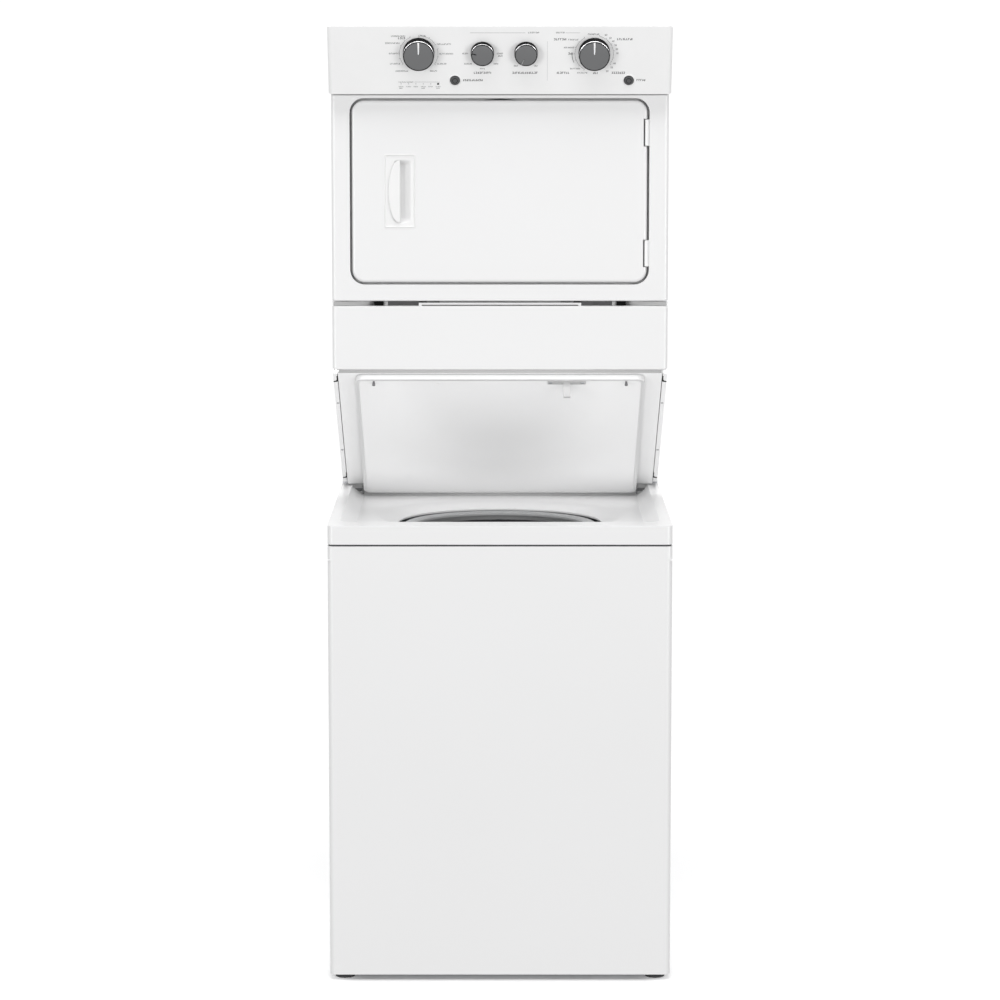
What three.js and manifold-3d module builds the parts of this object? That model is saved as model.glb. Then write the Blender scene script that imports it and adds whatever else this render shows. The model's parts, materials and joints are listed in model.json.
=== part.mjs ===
// Washer dryer stack: a top-loading washer with a front-loading dryer over it on a rear stand.
// Millimetres: x to the right, y to the back, z up. The origin is on the floor, below the middle.
// "Depth" is the distance behind the washer's front face, which is the foremost face of all.

import * as THREE from 'three';
import { mergeVertices } from 'three/addons/utils/BufferGeometryUtils.js';
import Module from 'manifold-3d';

const wasm = await Module();
wasm.setup();

// Overall sizes
const WIDTH = 692;
const HEIGHT = 1924;
const DEPTH = 829;
const HALF = WIDTH / 2;

// Sheet, gaps and curve quality
const SHEET = 1;
const THICK_SHEET = 1.5;
const GAP = 0.4;
const CORNER = 12;
const FINE = 40;
const MEDIUM = 22;
const COARSE = 10;
const CORNER_STEPS = 2;
const DOOR_STEPS = 4;

// Washer
const FLOOR_GAP = 11;
const WASHER_DEPTH = 700;
const CABINET_TOP = 890.5;
const DECK_BOTTOM = 894;
const DECK_TOP = 932;
const DECK_FLOOR = 908;
const DECK_PLATE = 1.6;
const TUB_DEPTH = 355;
const MOUTH_DEPTH = 348;
const MOUTH_RADIUS = 213;
const BEVEL_RADIUS = 258;
const MOUTH_TOP = 893;
const TUB_RADIUS = 283;
const BASKET_RADIUS = 262;
const ROD_OFFSET = 300;

// Washer lid, drawn closed and turned to its open rest
const HINGE_DEPTH = 654;
const HINGE_HEIGHT = 923;
const PIN_RADIUS = 3.1;
const LID_HALF = 297;
const LID_FRONT = 124;
const LID_BACK = 660;
const LID_BOTTOM = 917;
const LID_TOP = 929;
const LID_OPEN = 33;
const LID_SKIN = 1.2;
const LID_HEM = 7;

// Dryer and its stand
const BODY_DEPTH = 805;
const DRYER_HALF = 343;
const DRYER_FRONT = 204;
const RETURN = 12;
const FOLD = 8;
const WING_TOP = 1226;
const WING_BOTTOM = 940;
const WING_BACK = 655;
const LOWER_PANEL_TOP = 1358;
const DRYER_BOTTOM = 1367;
const CONSOLE_BOTTOM = 1788;
const CONSOLE_BACK = 260;
const DRUM_RADIUS = 275;
const DRUM_HEIGHT = 1592;
const DRUM_FRONT = 254;
const DRUM_BACK = 756;

// Dryer door
const DOOR_LEFT = -301;
const DOOR_RIGHT = 299;
const DOOR_BOTTOM = 1406;
const DOOR_TOP = 1775;
const DOOR_CORNER = 25;
const DOOR_GAP = 4.6;
const DOOR_FOLD = 6;
const DOOR_FACE = 201;
const POCKET_BACK = 229;
const DOORWAY_RADIUS = 186;
const KNUCKLE_X = 298;
const KNUCKLE_DEPTH = 203;
const KNUCKLE_LENGTH = 53;
const KNUCKLE_HEIGHTS = { upper: 1710, lower: 1465 };
const HANDLE = { x: -203.4, z: 1592, width: 64, height: 149 };

// Console face, from its lower edge to its upper edge
const FACE_LOW = { depth: 170, z: CONSOLE_BOTTOM };
const FACE_HIGH = { depth: 119, z: HEIGHT - 3 };
const CONSOLE_END = 9;
const KNOB_HEIGHT = 1871.5;
const BUTTON_HEIGHT = 1816;
const KNOBS = {
  cycle_knob: { x: -163.1, radius: 31, length: 24.6 },
  temperature_knob: { x: -35.3, radius: 22.9, length: 18.7 },
  softener_knob: { x: 52.2, radius: 22.9, length: 18.7 },
  timer_knob: { x: 189, radius: 31, length: 24.6 },
};
const BUTTONS = {
  washer_start_button: { x: -90.6 },
  dryer_start_button: { x: 259.1 },
};
const BUTTON_RADIUS = 9.8;
const SHAFT_RADIUS = 3;

// Colours
const WHITE_PAINT = { color: 0xf1f1f1, roughness: 0.3, metalness: 0 };
const WHITE_PLASTIC = { color: 0xeceded, roughness: 0.4, metalness: 0 };
const GREY_PLASTIC = { color: 0x747678, roughness: 0.45, metalness: 0.1 };
const PALE_PLASTIC = { color: 0xb9babc, roughness: 0.5, metalness: 0 };
const DARK_PLASTIC = { color: 0x3a3c3e, roughness: 0.6, metalness: 0 };
const BLACK_RUBBER = { color: 0x1d1d1e, roughness: 0.85, metalness: 0 };
const GALVANISED = { color: 0xa9adb0, roughness: 0.45, metalness: 0.8 };
const STAINLESS = { color: 0xb5b7b9, roughness: 0.3, metalness: 0.9 };
const ALUMINIUM = { color: 0x9da1a4, roughness: 0.4, metalness: 0.8 };

// ---------- helpers ----------

const fromFront = (depth) => depth - DEPTH / 2;

function signedVolume(points, triangles) {
  const corner = (index) => new THREE.Vector3().fromArray(points, index * 3);
  let volume = 0;
  for (let i = 0; i < triangles.length; i += 3) {
    const a = corner(triangles[i]);
    const b = corner(triangles[i + 1]);
    const c = corner(triangles[i + 2]);
    volume += a.dot(b.cross(c)) / 6;
  }
  return volume;
}

// A closed three.js geometry as a solid, with its faces pointing out.
function solid(geometry) {
  geometry.deleteAttribute('normal');
  geometry.deleteAttribute('uv');
  const merged = mergeVertices(geometry, 1e-3);
  const vertProperties = new Float32Array(merged.attributes.position.array);
  const kept = [];
  const all = merged.index.array;
  for (let i = 0; i < all.length; i += 3) {
    const [a, b, c] = [all[i], all[i + 1], all[i + 2]];
    if (a !== b && b !== c && c !== a) kept.push([a, b, c]);
  }
  const inward = signedVolume(vertProperties, kept.flat()) < 0;
  const triVerts = new Uint32Array(kept.flatMap(([a, b, c]) => (inward ? [b, a, c] : [a, b, c])));
  return new wasm.Manifold(new wasm.Mesh({ numProp: 3, vertProperties, triVerts }));
}

const join = (first, ...rest) => rest.reduce((whole, piece) => whole.add(piece), first);
const cut = (first, ...rest) => rest.reduce((whole, piece) => whole.subtract(piece), first);

function part(name, shape, finish) {
  const { vertProperties, triVerts } = shape.getMesh();
  const geometry = new THREE.BufferGeometry();
  geometry.setAttribute('position', new THREE.BufferAttribute(vertProperties, 3));
  geometry.setIndex(new THREE.BufferAttribute(triVerts, 1));
  geometry.computeVertexNormals();
  const mesh = new THREE.Mesh(geometry, new THREE.MeshStandardMaterial(finish));
  mesh.name = name;
  return mesh;
}

// A box between two limits on each axis: x, depth and z.
function block([x0, x1], [d0, d1], [z0, z1]) {
  const geometry = new THREE.BoxGeometry(x1 - x0, d1 - d0, z1 - z0);
  geometry.translate((x0 + x1) / 2, fromFront((d0 + d1) / 2), (z0 + z1) / 2);
  return solid(geometry);
}

// A polygon, as a three.js shape.
const outline = (points) => new THREE.Shape(points.map(([u, v]) => new THREE.Vector2(u, v)));

function roundedRectangle([u0, u1], [v0, v1], radius) {
  const shape = new THREE.Shape();
  const quarter = Math.PI / 2;
  shape.absarc(u1 - radius, v0 + radius, radius, -quarter, 0);
  shape.absarc(u1 - radius, v1 - radius, radius, 0, quarter);
  shape.absarc(u0 + radius, v1 - radius, radius, quarter, 2 * quarter);
  shape.absarc(u0 + radius, v0 + radius, radius, 2 * quarter, 3 * quarter);
  return shape;
}

const extrude = (shape, length, steps = CORNER_STEPS) => (
  new THREE.ExtrudeGeometry(shape, { depth: length, bevelEnabled: false, curveSegments: steps })
);

// A plan outline (x, depth) raised from one height to another.
function raised(shape, [z0, z1], steps = CORNER_STEPS) {
  return solid(extrude(shape, z1 - z0, steps).translate(0, fromFront(0), z0));
}

// A front outline (x, z) carried from one depth to another.
function carried(shape, [d0, d1], steps = CORNER_STEPS) {
  return solid(extrude(shape, d1 - d0, steps).rotateX(Math.PI / 2).translate(0, fromFront(d1), 0));
}

// A side outline (depth, z) spread from one x to another.
function spread(shape, [x0, x1]) {
  const turn = new THREE.Matrix4().makeBasis(
    new THREE.Vector3(0, 1, 0),
    new THREE.Vector3(0, 0, 1),
    new THREE.Vector3(1, 0, 0),
  );
  return solid(extrude(shape, x1 - x0).applyMatrix4(turn).translate(x0, fromFront(0), 0));
}

// A profile of (radius, height) points turned about an axis through a point (x, depth, z).
function turned(profile, [x, depth, z], direction = [0, 0, 1], sides = MEDIUM) {
  const points = profile.map(([radius, height]) => new THREE.Vector2(radius, height));
  const geometry = new THREE.LatheGeometry(points, sides);
  const up = new THREE.Vector3(0, 1, 0);
  const axis = new THREE.Vector3(...direction).normalize();
  geometry.applyQuaternion(new THREE.Quaternion().setFromUnitVectors(up, axis));
  return solid(geometry.translate(x, fromFront(depth), z));
}

// A closed ring or pipe: inner and outer radius, from one height to another.
const ringProfile = (inner, outer, low, high) => (
  [[inner, low], [outer, low], [outer, high], [inner, high], [inner, low]]
);
const discProfile = (radius, low, high) => [[0, low], [radius, low], [radius, high], [0, high]];

// A box whose front edges turn back over a radius: one radius at its sides, another at its top and foot.
function folded([u0, u1], [v0, v1], corner, [d0, d1], fold, steps = CORNER_STEPS) {
  const slices = [0, 30, 60, 90].map((degrees) => {
    const turn = THREE.MathUtils.degToRad(degrees);
    const side = fold.side * (1 - Math.sin(turn));
    const end = fold.end * (1 - Math.sin(turn));
    const depth = d0 + fold.side * (1 - Math.cos(turn));
    const across = [u0 + side, u1 - side];
    const upright = [v0 + end, v1 - end];
    const shape = roundedRectangle(across, upright, Math.max(corner - end, 0.5));
    return carried(shape, [depth, depth + 0.01], steps);
  });
  const back = carried(roundedRectangle([u0, u1], [v0, v1], corner), [d1 - 0.01, d1], steps);
  return wasm.Manifold.hull([...slices, back]);
}

// An open-backed tray: a face with a wall all round, carried from its face back.
function tray([u0, u1], [v0, v1], radius, [d0, d1], wall) {
  const fold = { side: FOLD, end: 2.5 };
  const insideFold = { side: FOLD - wall, end: 2.5 - wall };
  const insideRadius = Math.max(radius - wall, 0.5);
  return cut(
    folded([u0, u1], [v0, v1], radius, [d0, d1], fold),
    folded([u0 + wall, u1 - wall], [v0 + wall, v1 - wall], insideRadius, [d0 + wall, d1 + 1], insideFold),
  );
}

const bothSides = [['left', -1], ['right', 1]];
const span = (side, inner, outer) => (side < 0 ? [-outer, -inner] : [inner, outer]);

// ---------- washer casing ----------

function washerCabinet() {
  const back = WASHER_DEPTH - SHEET - GAP;
  const outside = roundedRectangle([-HALF, HALF], [0, back], CORNER);
  const wall = HALF - SHEET;
  const inside = roundedRectangle([-wall, wall], [SHEET, back - SHEET], CORNER - SHEET);
  const rim = 322;
  const top = roundedRectangle([-rim, rim], [24, back - 24], 30);
  const shell = cut(
    raised(outside, [FLOOR_GAP, CABINET_TOP]),
    raised(inside, [FLOOR_GAP - 1, CABINET_TOP - SHEET]),
    raised(top, [CABINET_TOP - 3, CABINET_TOP + 1]),
    block([-rim, rim], [back - 3, back + 1], [FLOOR_GAP - 1, CABINET_TOP - 40]),
    block([-wall + 0.2, wall - 0.2], [back - CORNER - 1, back + 1], [FLOOR_GAP - 1, 46]),
  );
  const gussets = bothSides.flatMap(([, side]) => [-1, 1].map((end) => {
    const depth = TUB_DEPTH + end * ROD_OFFSET;
    const wallDepth = end < 0 ? SHEET / 2 : back - SHEET / 2;
    const inner = depth - end * 34;
    return cut(
      block(span(side, 268, wall + 0.5), [inner, wallDepth].sort((a, b) => a - b), [862, 865]),
      turned(discProfile(6, 850, 880), [side * ROD_OFFSET, depth, 0], [0, 0, 1], COARSE),
    );
  }));
  return part('washer_cabinet', join(shell, ...gussets), WHITE_PAINT);
}

function washerRearPanel() {
  const plate = carried(
    roundedRectangle([-HALF + 4, HALF - 4], [50, CABINET_TOP - 2], 6),
    [WASHER_DEPTH - SHEET, WASHER_DEPTH],
  );
  const bead = (x) => block([x - 16, x + 16], [WASHER_DEPTH - 7, WASHER_DEPTH - 1], [110, 740]);
  const ports = [-230, -180].map(
    (x) => turned(discProfile(14, -10, 10), [x, WASHER_DEPTH, 812], [0, 1, 0], COARSE),
  );
  const drain = turned(discProfile(19, -10, 10), [-205, WASHER_DEPTH, 700], [0, 1, 0], COARSE);
  const panel = cut(join(plate, bead(-120), bead(0), bead(120)), ...ports, drain);
  return part('washer_rear_panel', panel, GALVANISED);
}

function baseFrame() {
  const [low, high] = [14, 44];
  const side = HALF - SHEET - 0.8;
  const outside = roundedRectangle([-side, side], [2.4, BODY_DEPTH - 1], 10);
  const frame = cut(
    raised(outside, [low, high]),
    raised(roundedRectangle([-296, 296], [52, 744], 8), [low - 1, high + 1]),
  );
  const trough = cut(
    raised(roundedRectangle([-side + 2, side - 2], [4.4, BODY_DEPTH - 3], 8), [low + 2, high + 1]),
    raised(roundedRectangle([-298, 298], [50, 746], 8), [low - 1, high + 2]),
  );
  const stemHoles = footPlaces().map(({ x, depth }) => (
    turned(discProfile(5.6, low - 1, high + 1), [x, depth, 0], [0, 0, 1], COARSE)
  ));
  return part('base_frame', cut(frame, trough, ...stemHoles), GALVANISED);
}

function footPlaces() {
  return bothSides.flatMap(([name, side]) => [
    { name: `foot_front_${name}`, x: side * 316, depth: 34 },
    { name: `foot_rear_${name}`, x: side * 316, depth: 772 },
  ]);
}

function levellingFeet() {
  const profile = [[0, 0], [20, 0], [22, 6], [15, 9], [11, 9], [11, 13.6], [5, 13.6], [5, 42], [0, 42]];
  return footPlaces().map(({ name, x, depth }) => (
    part(name, turned(profile, [x, depth, 0], [0, 0, 1], COARSE), BLACK_RUBBER)
  ));
}

// The deck: a raised rim round a shallow well, with a bevelled round mouth over the tub.
function washerTop() {
  const whole = raised(
    roundedRectangle([-HALF, HALF], [0, WASHER_DEPTH], CORNER),
    [DECK_BOTTOM, DECK_TOP],
  );
  const step = DECK_TOP - 18;
  const acrossWell = outline([
    [-324, DECK_TOP + 1], [-304, step], [-297, DECK_FLOOR],
    [297, DECK_FLOOR], [304, step], [324, DECK_TOP + 1],
  ]);
  const alongWell = outline([
    [61, DECK_TOP + 1], [77, step], [84, DECK_FLOOR],
    [668, DECK_FLOOR], [675, step], [684, DECK_TOP + 1],
  ]);
  const well = spread(alongWell, [-HALF, HALF])
    .intersect(carried(acrossWell, [0, WASHER_DEPTH]))
    .intersect(raised(roundedRectangle([-324, 324], [61, 684], 34), [DECK_FLOOR - 1, DECK_TOP + 2]));
  const under = DECK_FLOOR - DECK_PLATE;
  const wall = HALF - 5;
  const hollows = [
    raised(roundedRectangle([-wall, wall], [5, WASHER_DEPTH - 5], 8), [DECK_BOTTOM - 1, under]),
    block([-wall, -328], [20, 680], [DECK_BOTTOM, DECK_TOP - 3]),
    block([328, wall], [20, 680], [DECK_BOTTOM, DECK_TOP - 3]),
    block([-320, 320], [5, 58], [DECK_BOTTOM, DECK_TOP - 3]),
    block([-320, 320], [687, 695], [DECK_BOTTOM, DECK_TOP - 3]),
  ];
  const bevelOut = [[0, under + 0.5], [BEVEL_RADIUS + 3, under + 0.5], [MOUTH_RADIUS + 3, MOUTH_TOP - 4],
    [0, MOUTH_TOP - 4]];
  const bevelIn = [[0, DECK_FLOOR + 0.1], [BEVEL_RADIUS, DECK_FLOOR + 0.1], [MOUTH_RADIUS, MOUTH_TOP],
    [MOUTH_RADIUS, MOUTH_TOP - 6], [0, MOUTH_TOP - 6]];
  const centre = [0, MOUTH_DEPTH, 0];
  const locatorTop = DECK_BOTTOM + 3;
  const locator = cut(
    raised(
      roundedRectangle([-wall - 0.5, wall + 0.5], [4.5, WASHER_DEPTH - 4.5], 8),
      [CABINET_TOP + GAP, locatorTop],
    ),
    raised(
      roundedRectangle([-wall + 3, wall - 3], [8, WASHER_DEPTH - 8], 6),
      [CABINET_TOP, locatorTop + 1],
    ),
  );
  const hingeHoles = bothSides.map(([, side]) => (
    turned(discProfile(PIN_RADIUS + 0.6, 300, 322), [0, HINGE_DEPTH, HINGE_HEIGHT], [side, 0, 0], COARSE)
  ));
  const strikeSlot = block([126, 148], [130, 146], [880, 915]);
  const upright = [0, 0, 1];
  const deck = join(cut(whole, well, ...hollows), turned(bevelOut, centre, upright, FINE), locator);
  const mouth = turned(bevelIn, centre, upright, FINE);
  return part('washer_top', cut(deck, mouth, ...hingeHoles, strikeSlot), WHITE_PAINT);
}

function lidLock() {
  const housing = cut(
    block([110, 166], [110, 164], [874, MOUTH_TOP - 4 - GAP]),
    turned(discProfile(MOUTH_RADIUS + 6, 860, 900), [0, MOUTH_DEPTH, 0]),
    block([126, 148], [130, 146], [877, 900]),
  );
  return part('lid_lock', housing, DARK_PLASTIC);
}

// ---------- washer lid, drawn closed ----------

function lidParts() {
  const plan = (inset, radius) => roundedRectangle(
    [-LID_HALF + inset, LID_HALF - inset],
    [LID_FRONT + inset, LID_BACK - inset],
    radius,
  );
  const hinge = [0, HINGE_DEPTH, HINGE_HEIGHT];
  const pinHoles = bothSides.map(([, side]) => (
    turned(discProfile(PIN_RADIUS + 0.6, LID_HALF - 11, LID_HALF + 1), hinge, [side, 0, 0], COARSE)
  ));
  const outer = cut(
    raised(plan(0, 16), [LID_BOTTOM, LID_TOP]),
    raised(plan(LID_SKIN, 15), [LID_BOTTOM + LID_SKIN, LID_TOP - LID_SKIN]),
    raised(plan(LID_HEM, 10), [LID_BOTTOM - 1, LID_BOTTOM + 3]),
    ...pinHoles,
  );
  const panelFace = LID_BOTTOM + LID_SKIN + 0.1;
  const panel = raised(plan(LID_HEM - 4, 12), [panelFace, panelFace + LID_SKIN]);
  const ribs = [-140, 0, 140].map((x) => (
    block([x - 1, x + 1], [190, 600], [panelFace + 0.5, LID_TOP - 3])
  ));
  const strikeDepth = LID_FRONT + 14;
  const strikeEnd = LID_BOTTOM - 35;
  const strike = join(
    block([98, 176], [strikeDepth - 7, strikeDepth + 7], [panelFace - 2.2, panelFace - GAP]),
    block([130, 144], [strikeDepth - 1.5, strikeDepth + 1.5], [strikeEnd, panelFace - 1]),
    block([130, 144], [strikeDepth - 5, strikeDepth + 1.5], [strikeEnd, strikeEnd + 3]),
  );
  const hinges = bothSides.map(([name, side]) => part(
    `lid_hinge_${name}`,
    join(
      block(span(side, LID_HALF + GAP, LID_HALF + 3.2), [644, 661], [915, 928]),
      turned(discProfile(PIN_RADIUS, LID_HALF - 10, LID_HALF + 21), hinge, [side, 0, 0], COARSE),
    ),
    GREY_PLASTIC,
  ));
  return [
    part('lid_outer', outer, WHITE_PAINT),
    part('lid_inner', join(panel, ...ribs), WHITE_PAINT),
    part('lid_strike', strike, WHITE_PLASTIC),
    ...hinges,
  ];
}

function washerLid() {
  const pivot = new THREE.Vector3(0, fromFront(HINGE_DEPTH), HINGE_HEIGHT);
  const lid = new THREE.Group();
  lid.position.copy(pivot);
  lid.rotation.x = -THREE.MathUtils.degToRad(LID_OPEN);
  const closed = new THREE.Group();
  closed.position.copy(pivot).negate();
  closed.add(...lidParts());
  lid.add(closed);
  return lid;
}

// ---------- washer tub and drive ----------

const TUB_BOTTOM = 392;
const TUB_TOP = 858;
const PULLEY_HEIGHT = 286;
const MOTOR = { x: 0, depth: 530 };

function outerTub() {
  const centre = [0, TUB_DEPTH, 0];
  const wall = 3.5;
  const seat = 40;
  const profile = [[seat, TUB_BOTTOM], [TUB_RADIUS, TUB_BOTTOM], [TUB_RADIUS, TUB_TOP],
    [TUB_RADIUS - wall, TUB_TOP], [TUB_RADIUS - wall, TUB_BOTTOM + wall], [seat, TUB_BOTTOM + wall],
    [seat, TUB_BOTTOM]];
  const room = turned(discProfile(TUB_RADIUS - wall, TUB_BOTTOM + wall, TUB_TOP + 1), centre);
  const lugs = bothSides.flatMap(([, side]) => [-1, 1].map((end) => {
    const middle = TUB_DEPTH + end * ROD_OFFSET;
    const near = TUB_DEPTH + end * 190;
    const reach = end < 0 ? [middle - 17, near] : [near, middle + 17];
    return cut(
      block(span(side, 190, ROD_OFFSET + 17), reach, [470, 488]),
      turned(discProfile(7, 460, 500), [side * ROD_OFFSET, middle, 0], [0, 0, 1], COARSE),
    );
  }));
  return part('outer_tub', join(turned(profile, centre), ...lugs).subtract(room), PALE_PLASTIC);
}

// The ring snapped on the tub: a flat cover with a raised, rounded lip under the deck's mouth.
function tubRing() {
  const [foot, cover] = [TUB_TOP + GAP, TUB_TOP + 3.4];
  const profile = [[TUB_RADIUS + 3, foot], [TUB_RADIUS + 3, cover], [204, cover], [204, 885],
    [201, 889], [195, 890], [184, 888.4], [181, 886], [181, 881.5], [183.4, 881.5], [184, 885.6],
    [195, 887.4], [201.4, 885], [201.4, foot], [TUB_RADIUS + 3, foot]];
  return part('tub_ring', turned(profile, [0, TUB_DEPTH, 0], [0, 0, 1], FINE), PALE_PLASTIC);
}

function washBasket() {
  const low = 424;
  const high = 800;
  const wall = SHEET;
  const profile = [[34, low + 10], [120, low], [BASKET_RADIUS - 20, low], [BASKET_RADIUS, low + 20],
    [BASKET_RADIUS, high], [BASKET_RADIUS - wall, high], [BASKET_RADIUS - wall, low + 21],
    [BASKET_RADIUS - 21, low + wall], [120, low + wall], [34, low + 10 + wall], [34, low + 10]];
  return part('wash_basket', turned(profile, [0, TUB_DEPTH, 0]), STAINLESS);
}

function balanceRing() {
  const profile = [[188, 812], [198, 800.4], [BASKET_RADIUS + 4, 800.4], [BASKET_RADIUS + 4, 844],
    [256, 851], [197, 851], [197, 868], [194, 871], [189, 871], [186, 868], [186, 815], [188, 812]];
  return part('balance_ring', turned(profile, [0, TUB_DEPTH, 0]), DARK_PLASTIC);
}

function agitator() {
  const low = 440;
  const post = [[24, low], [150, low], [152, low + 8], [80, low + 34], [52, low + 110], [44, 760],
    [36, 800], [0, 806], [0, 780], [24, 770], [24, low]];
  const fins = [0, 1, 2, 3].map((turn) => {
    const angle = turn * Math.PI / 2;
    const shape = outline([
      [40, low + 4], [158, low + 4], [158, low + 26], [96, low + 90], [62, low + 180], [40, low + 190],
    ]);
    const fin = extrude(shape, 8).translate(0, 0, -4).rotateX(Math.PI / 2).rotateZ(angle);
    return solid(fin.translate(0, fromFront(TUB_DEPTH), 0));
  });
  return part('agitator', join(turned(post, [0, TUB_DEPTH, 0]), ...fins), PALE_PLASTIC);
}

function gearcase() {
  const profile = [[0, 306], [62, 306], [62, 372], [32, 384], [32, 424], [20, 428], [20, 760], [0, 760]];
  return part('gearcase', turned(profile, [0, TUB_DEPTH, 0]), ALUMINIUM);
}

function washerDrive() {
  const groove = (radius, low, high) => [[0, low], [radius, low], [radius - 4, low + 3],
    [radius - 4, high - 3], [radius, high], [0, high]];
  const belt = beltLoop(
    { u: 0, v: TUB_DEPTH, radius: 67.4 },
    { u: MOTOR.x, v: MOTOR.depth, radius: 16.4 },
    3.2,
  );
  return [
    part('spin_pulley', turned(groove(70, 278, 296), [0, TUB_DEPTH, 0]), ALUMINIUM),
    part('motor_pulley', turned(groove(20, 278, 296), [MOTOR.x, MOTOR.depth, 0]), ALUMINIUM),
    part('washer_belt', raised(belt, [281.6, 292.4], 8), BLACK_RUBBER),
    part('washer_motor', motor(MOTOR.x, MOTOR.depth, 297, 384), ALUMINIUM),
  ];
}

function motor(x, depth, low, high) {
  const profile = [[0, low], [14, low], [14, low + 6], [52, low + 8], [60, low + 16], [60, high - 10],
    [50, high], [0, high]];
  return turned(profile, [x, depth, 0]);
}

// A flat belt round two pulleys in the (u, v) plane: outer loop with the inner loop as its hole.
function beltLoop(first, second, thickness) {
  const loop = (grow, kind) => {
    const angle = Math.atan2(second.v - first.v, second.u - first.u);
    const distance = Math.hypot(second.u - first.u, second.v - first.v);
    const lean = Math.acos((first.radius - second.radius) / distance);
    const path = new kind();
    path.absarc(first.u, first.v, first.radius + grow, angle + lean, angle - lean + 2 * Math.PI);
    path.absarc(second.u, second.v, second.radius + grow, angle - lean, angle + lean);
    return path;
  };
  const shape = loop(thickness, THREE.Shape);
  shape.holes.push(loop(0, THREE.Path));
  return shape;
}

function drainPump() {
  const body = [[0, 250], [42, 250], [46, 256], [46, 300], [30, 306], [30, 350], [0, 350]];
  const outlet = turned(discProfile(13, 0, 70), [-170, 470, 275], [-1, 0, 0], COARSE);
  return part('drain_pump', join(turned(body, [-170, 470, 0]), outlet), DARK_PLASTIC);
}

function suspensionRods() {
  const profile = [[0, 404], [16, 404], [18, 408], [18, 452], [16, 456], [3.5, 456], [3.5, 866], [10, 867],
    [12, 874], [8, 880], [0, 882]];
  return bothSides.flatMap(([name, side]) => [['front', -1], ['rear', 1]].map(([end, sign]) => {
    const place = [side * ROD_OFFSET, TUB_DEPTH + sign * ROD_OFFSET, 0];
    return part(`suspension_rod_${end}_${name}`, turned(profile, place, [0, 0, 1], COARSE), GALVANISED);
  }));
}

function inletValve() {
  const back = WASHER_DEPTH;
  const body = block([-262, -148], [back - 62, back - 10], [782, 842]);
  const threads = [-230, -180].map((x) => cut(
    turned(discProfile(13, -12, 26), [x, back, 812], [0, 1, 0], MEDIUM),
    turned(discProfile(9, 4, 30), [x, back, 812], [0, 1, 0], MEDIUM),
  ));
  return part('inlet_valve', join(body, ...threads), DARK_PLASTIC);
}

// ---------- stand and dryer casing ----------

const wingSlope = (WING_TOP - WING_BOTTOM) / (WING_BACK - DRYER_FRONT);
const wingHeight = (depth) => WING_TOP - (depth - DRYER_FRONT) * wingSlope;

function standFrame() {
  const [low, high] = [44.4, 938];
  const post = 1330;
  const wall = THICK_SHEET;
  const columns = bothSides.map(([, side]) => join(
    cut(
      block(span(side, 290, HALF), [704, BODY_DEPTH], [low, high]),
      block(span(side, 280, HALF - wall), [704 + wall, BODY_DEPTH - wall], [low + wall, high - wall]),
    ),
    cut(
      block(span(side, 300, 339), [740, BODY_DEPTH - 8], [high - 1, post]),
      block(span(side, 290, 339 - wall), [740 + wall, BODY_DEPTH - 8 - wall], [high + wall, post - wall]),
    ),
  ));
  const bars = [[40, low, 84], [20, 880, high]].map(([deep, bottom, top]) => cut(
    block([-292, 292], [BODY_DEPTH - deep, BODY_DEPTH - 2], [bottom, top]),
    block([-289, 289], [BODY_DEPTH - deep - 1, BODY_DEPTH - 2 - wall], [bottom - 1, top - wall]),
  ));
  return part('stand_frame', join(...columns, ...bars), GALVANISED);
}

function sidePanel(name, side) {
  const start = DRYER_FRONT + RETURN + GAP;
  const back = BODY_DEPTH - SHEET - GAP;
  const top = HEIGHT - SHEET - GAP;
  const front = [[start, CONSOLE_BOTTOM - 1], [start, wingHeight(start)]];
  const rear = [[WING_BACK, WING_BOTTOM], [back, WING_BOTTOM], [back, top], [CONSOLE_BACK + GAP, top],
    [CONSOLE_BACK + GAP, CONSOLE_BOTTOM - 1]];
  const skin = spread(outline([...front, ...rear]), span(side, DRYER_HALF - SHEET, DRYER_HALF));
  const slant = spread(
    outline([[start, wingHeight(start)], [WING_BACK, WING_BOTTOM], [WING_BACK, WING_BOTTOM + THICK_SHEET],
      [start, wingHeight(start) + THICK_SHEET]]),
    span(side, 334, DRYER_HALF - SHEET / 2),
  );
  const flange = span(side, 322, DRYER_HALF - SHEET / 2);
  const frontFlange = block(flange, [start, start + THICK_SHEET], [wingHeight(start), CONSOLE_BOTTOM - 1]);
  const rearFlange = block(flange, [back - THICK_SHEET, back], [WING_BOTTOM, top]);
  return part(name, join(skin, slant, frontFlange, rearFlange), WHITE_PAINT);
}

// The slanted panel behind the open lid, just under the side panels' slanted flanges.
function recessPanel() {
  const start = DRYER_FRONT + 8;
  const lift = -1.8;
  const thick = THICK_SHEET;
  const foot = 660;
  const face = (depth) => wingHeight(depth) + lift;
  const shape = outline([
    [start, face(start)], [foot, face(foot)], [foot + thick, face(foot)], [foot + thick, face(foot) + 40],
    [foot, face(foot) + 40], [foot, face(foot) + thick], [start, face(start) + thick],
  ]);
  return part('lid_recess_panel', spread(shape, [-332.6, 332.6]), WHITE_PAINT);
}

function lowerFrontPanel() {
  const shell = tray(
    [-DRYER_HALF, DRYER_HALF],
    [WING_TOP, LOWER_PANEL_TOP],
    5,
    [DRYER_FRONT, DRYER_FRONT + RETURN],
    SHEET,
  );
  const tongue = block(
    [-166, 166],
    [DRYER_FRONT + 5, DRYER_FRONT + 8],
    [LOWER_PANEL_TOP - SHEET / 2, LOWER_PANEL_TOP + 6],
  );
  return part('lower_front_panel', join(shell, tongue), WHITE_PAINT);
}

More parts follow.
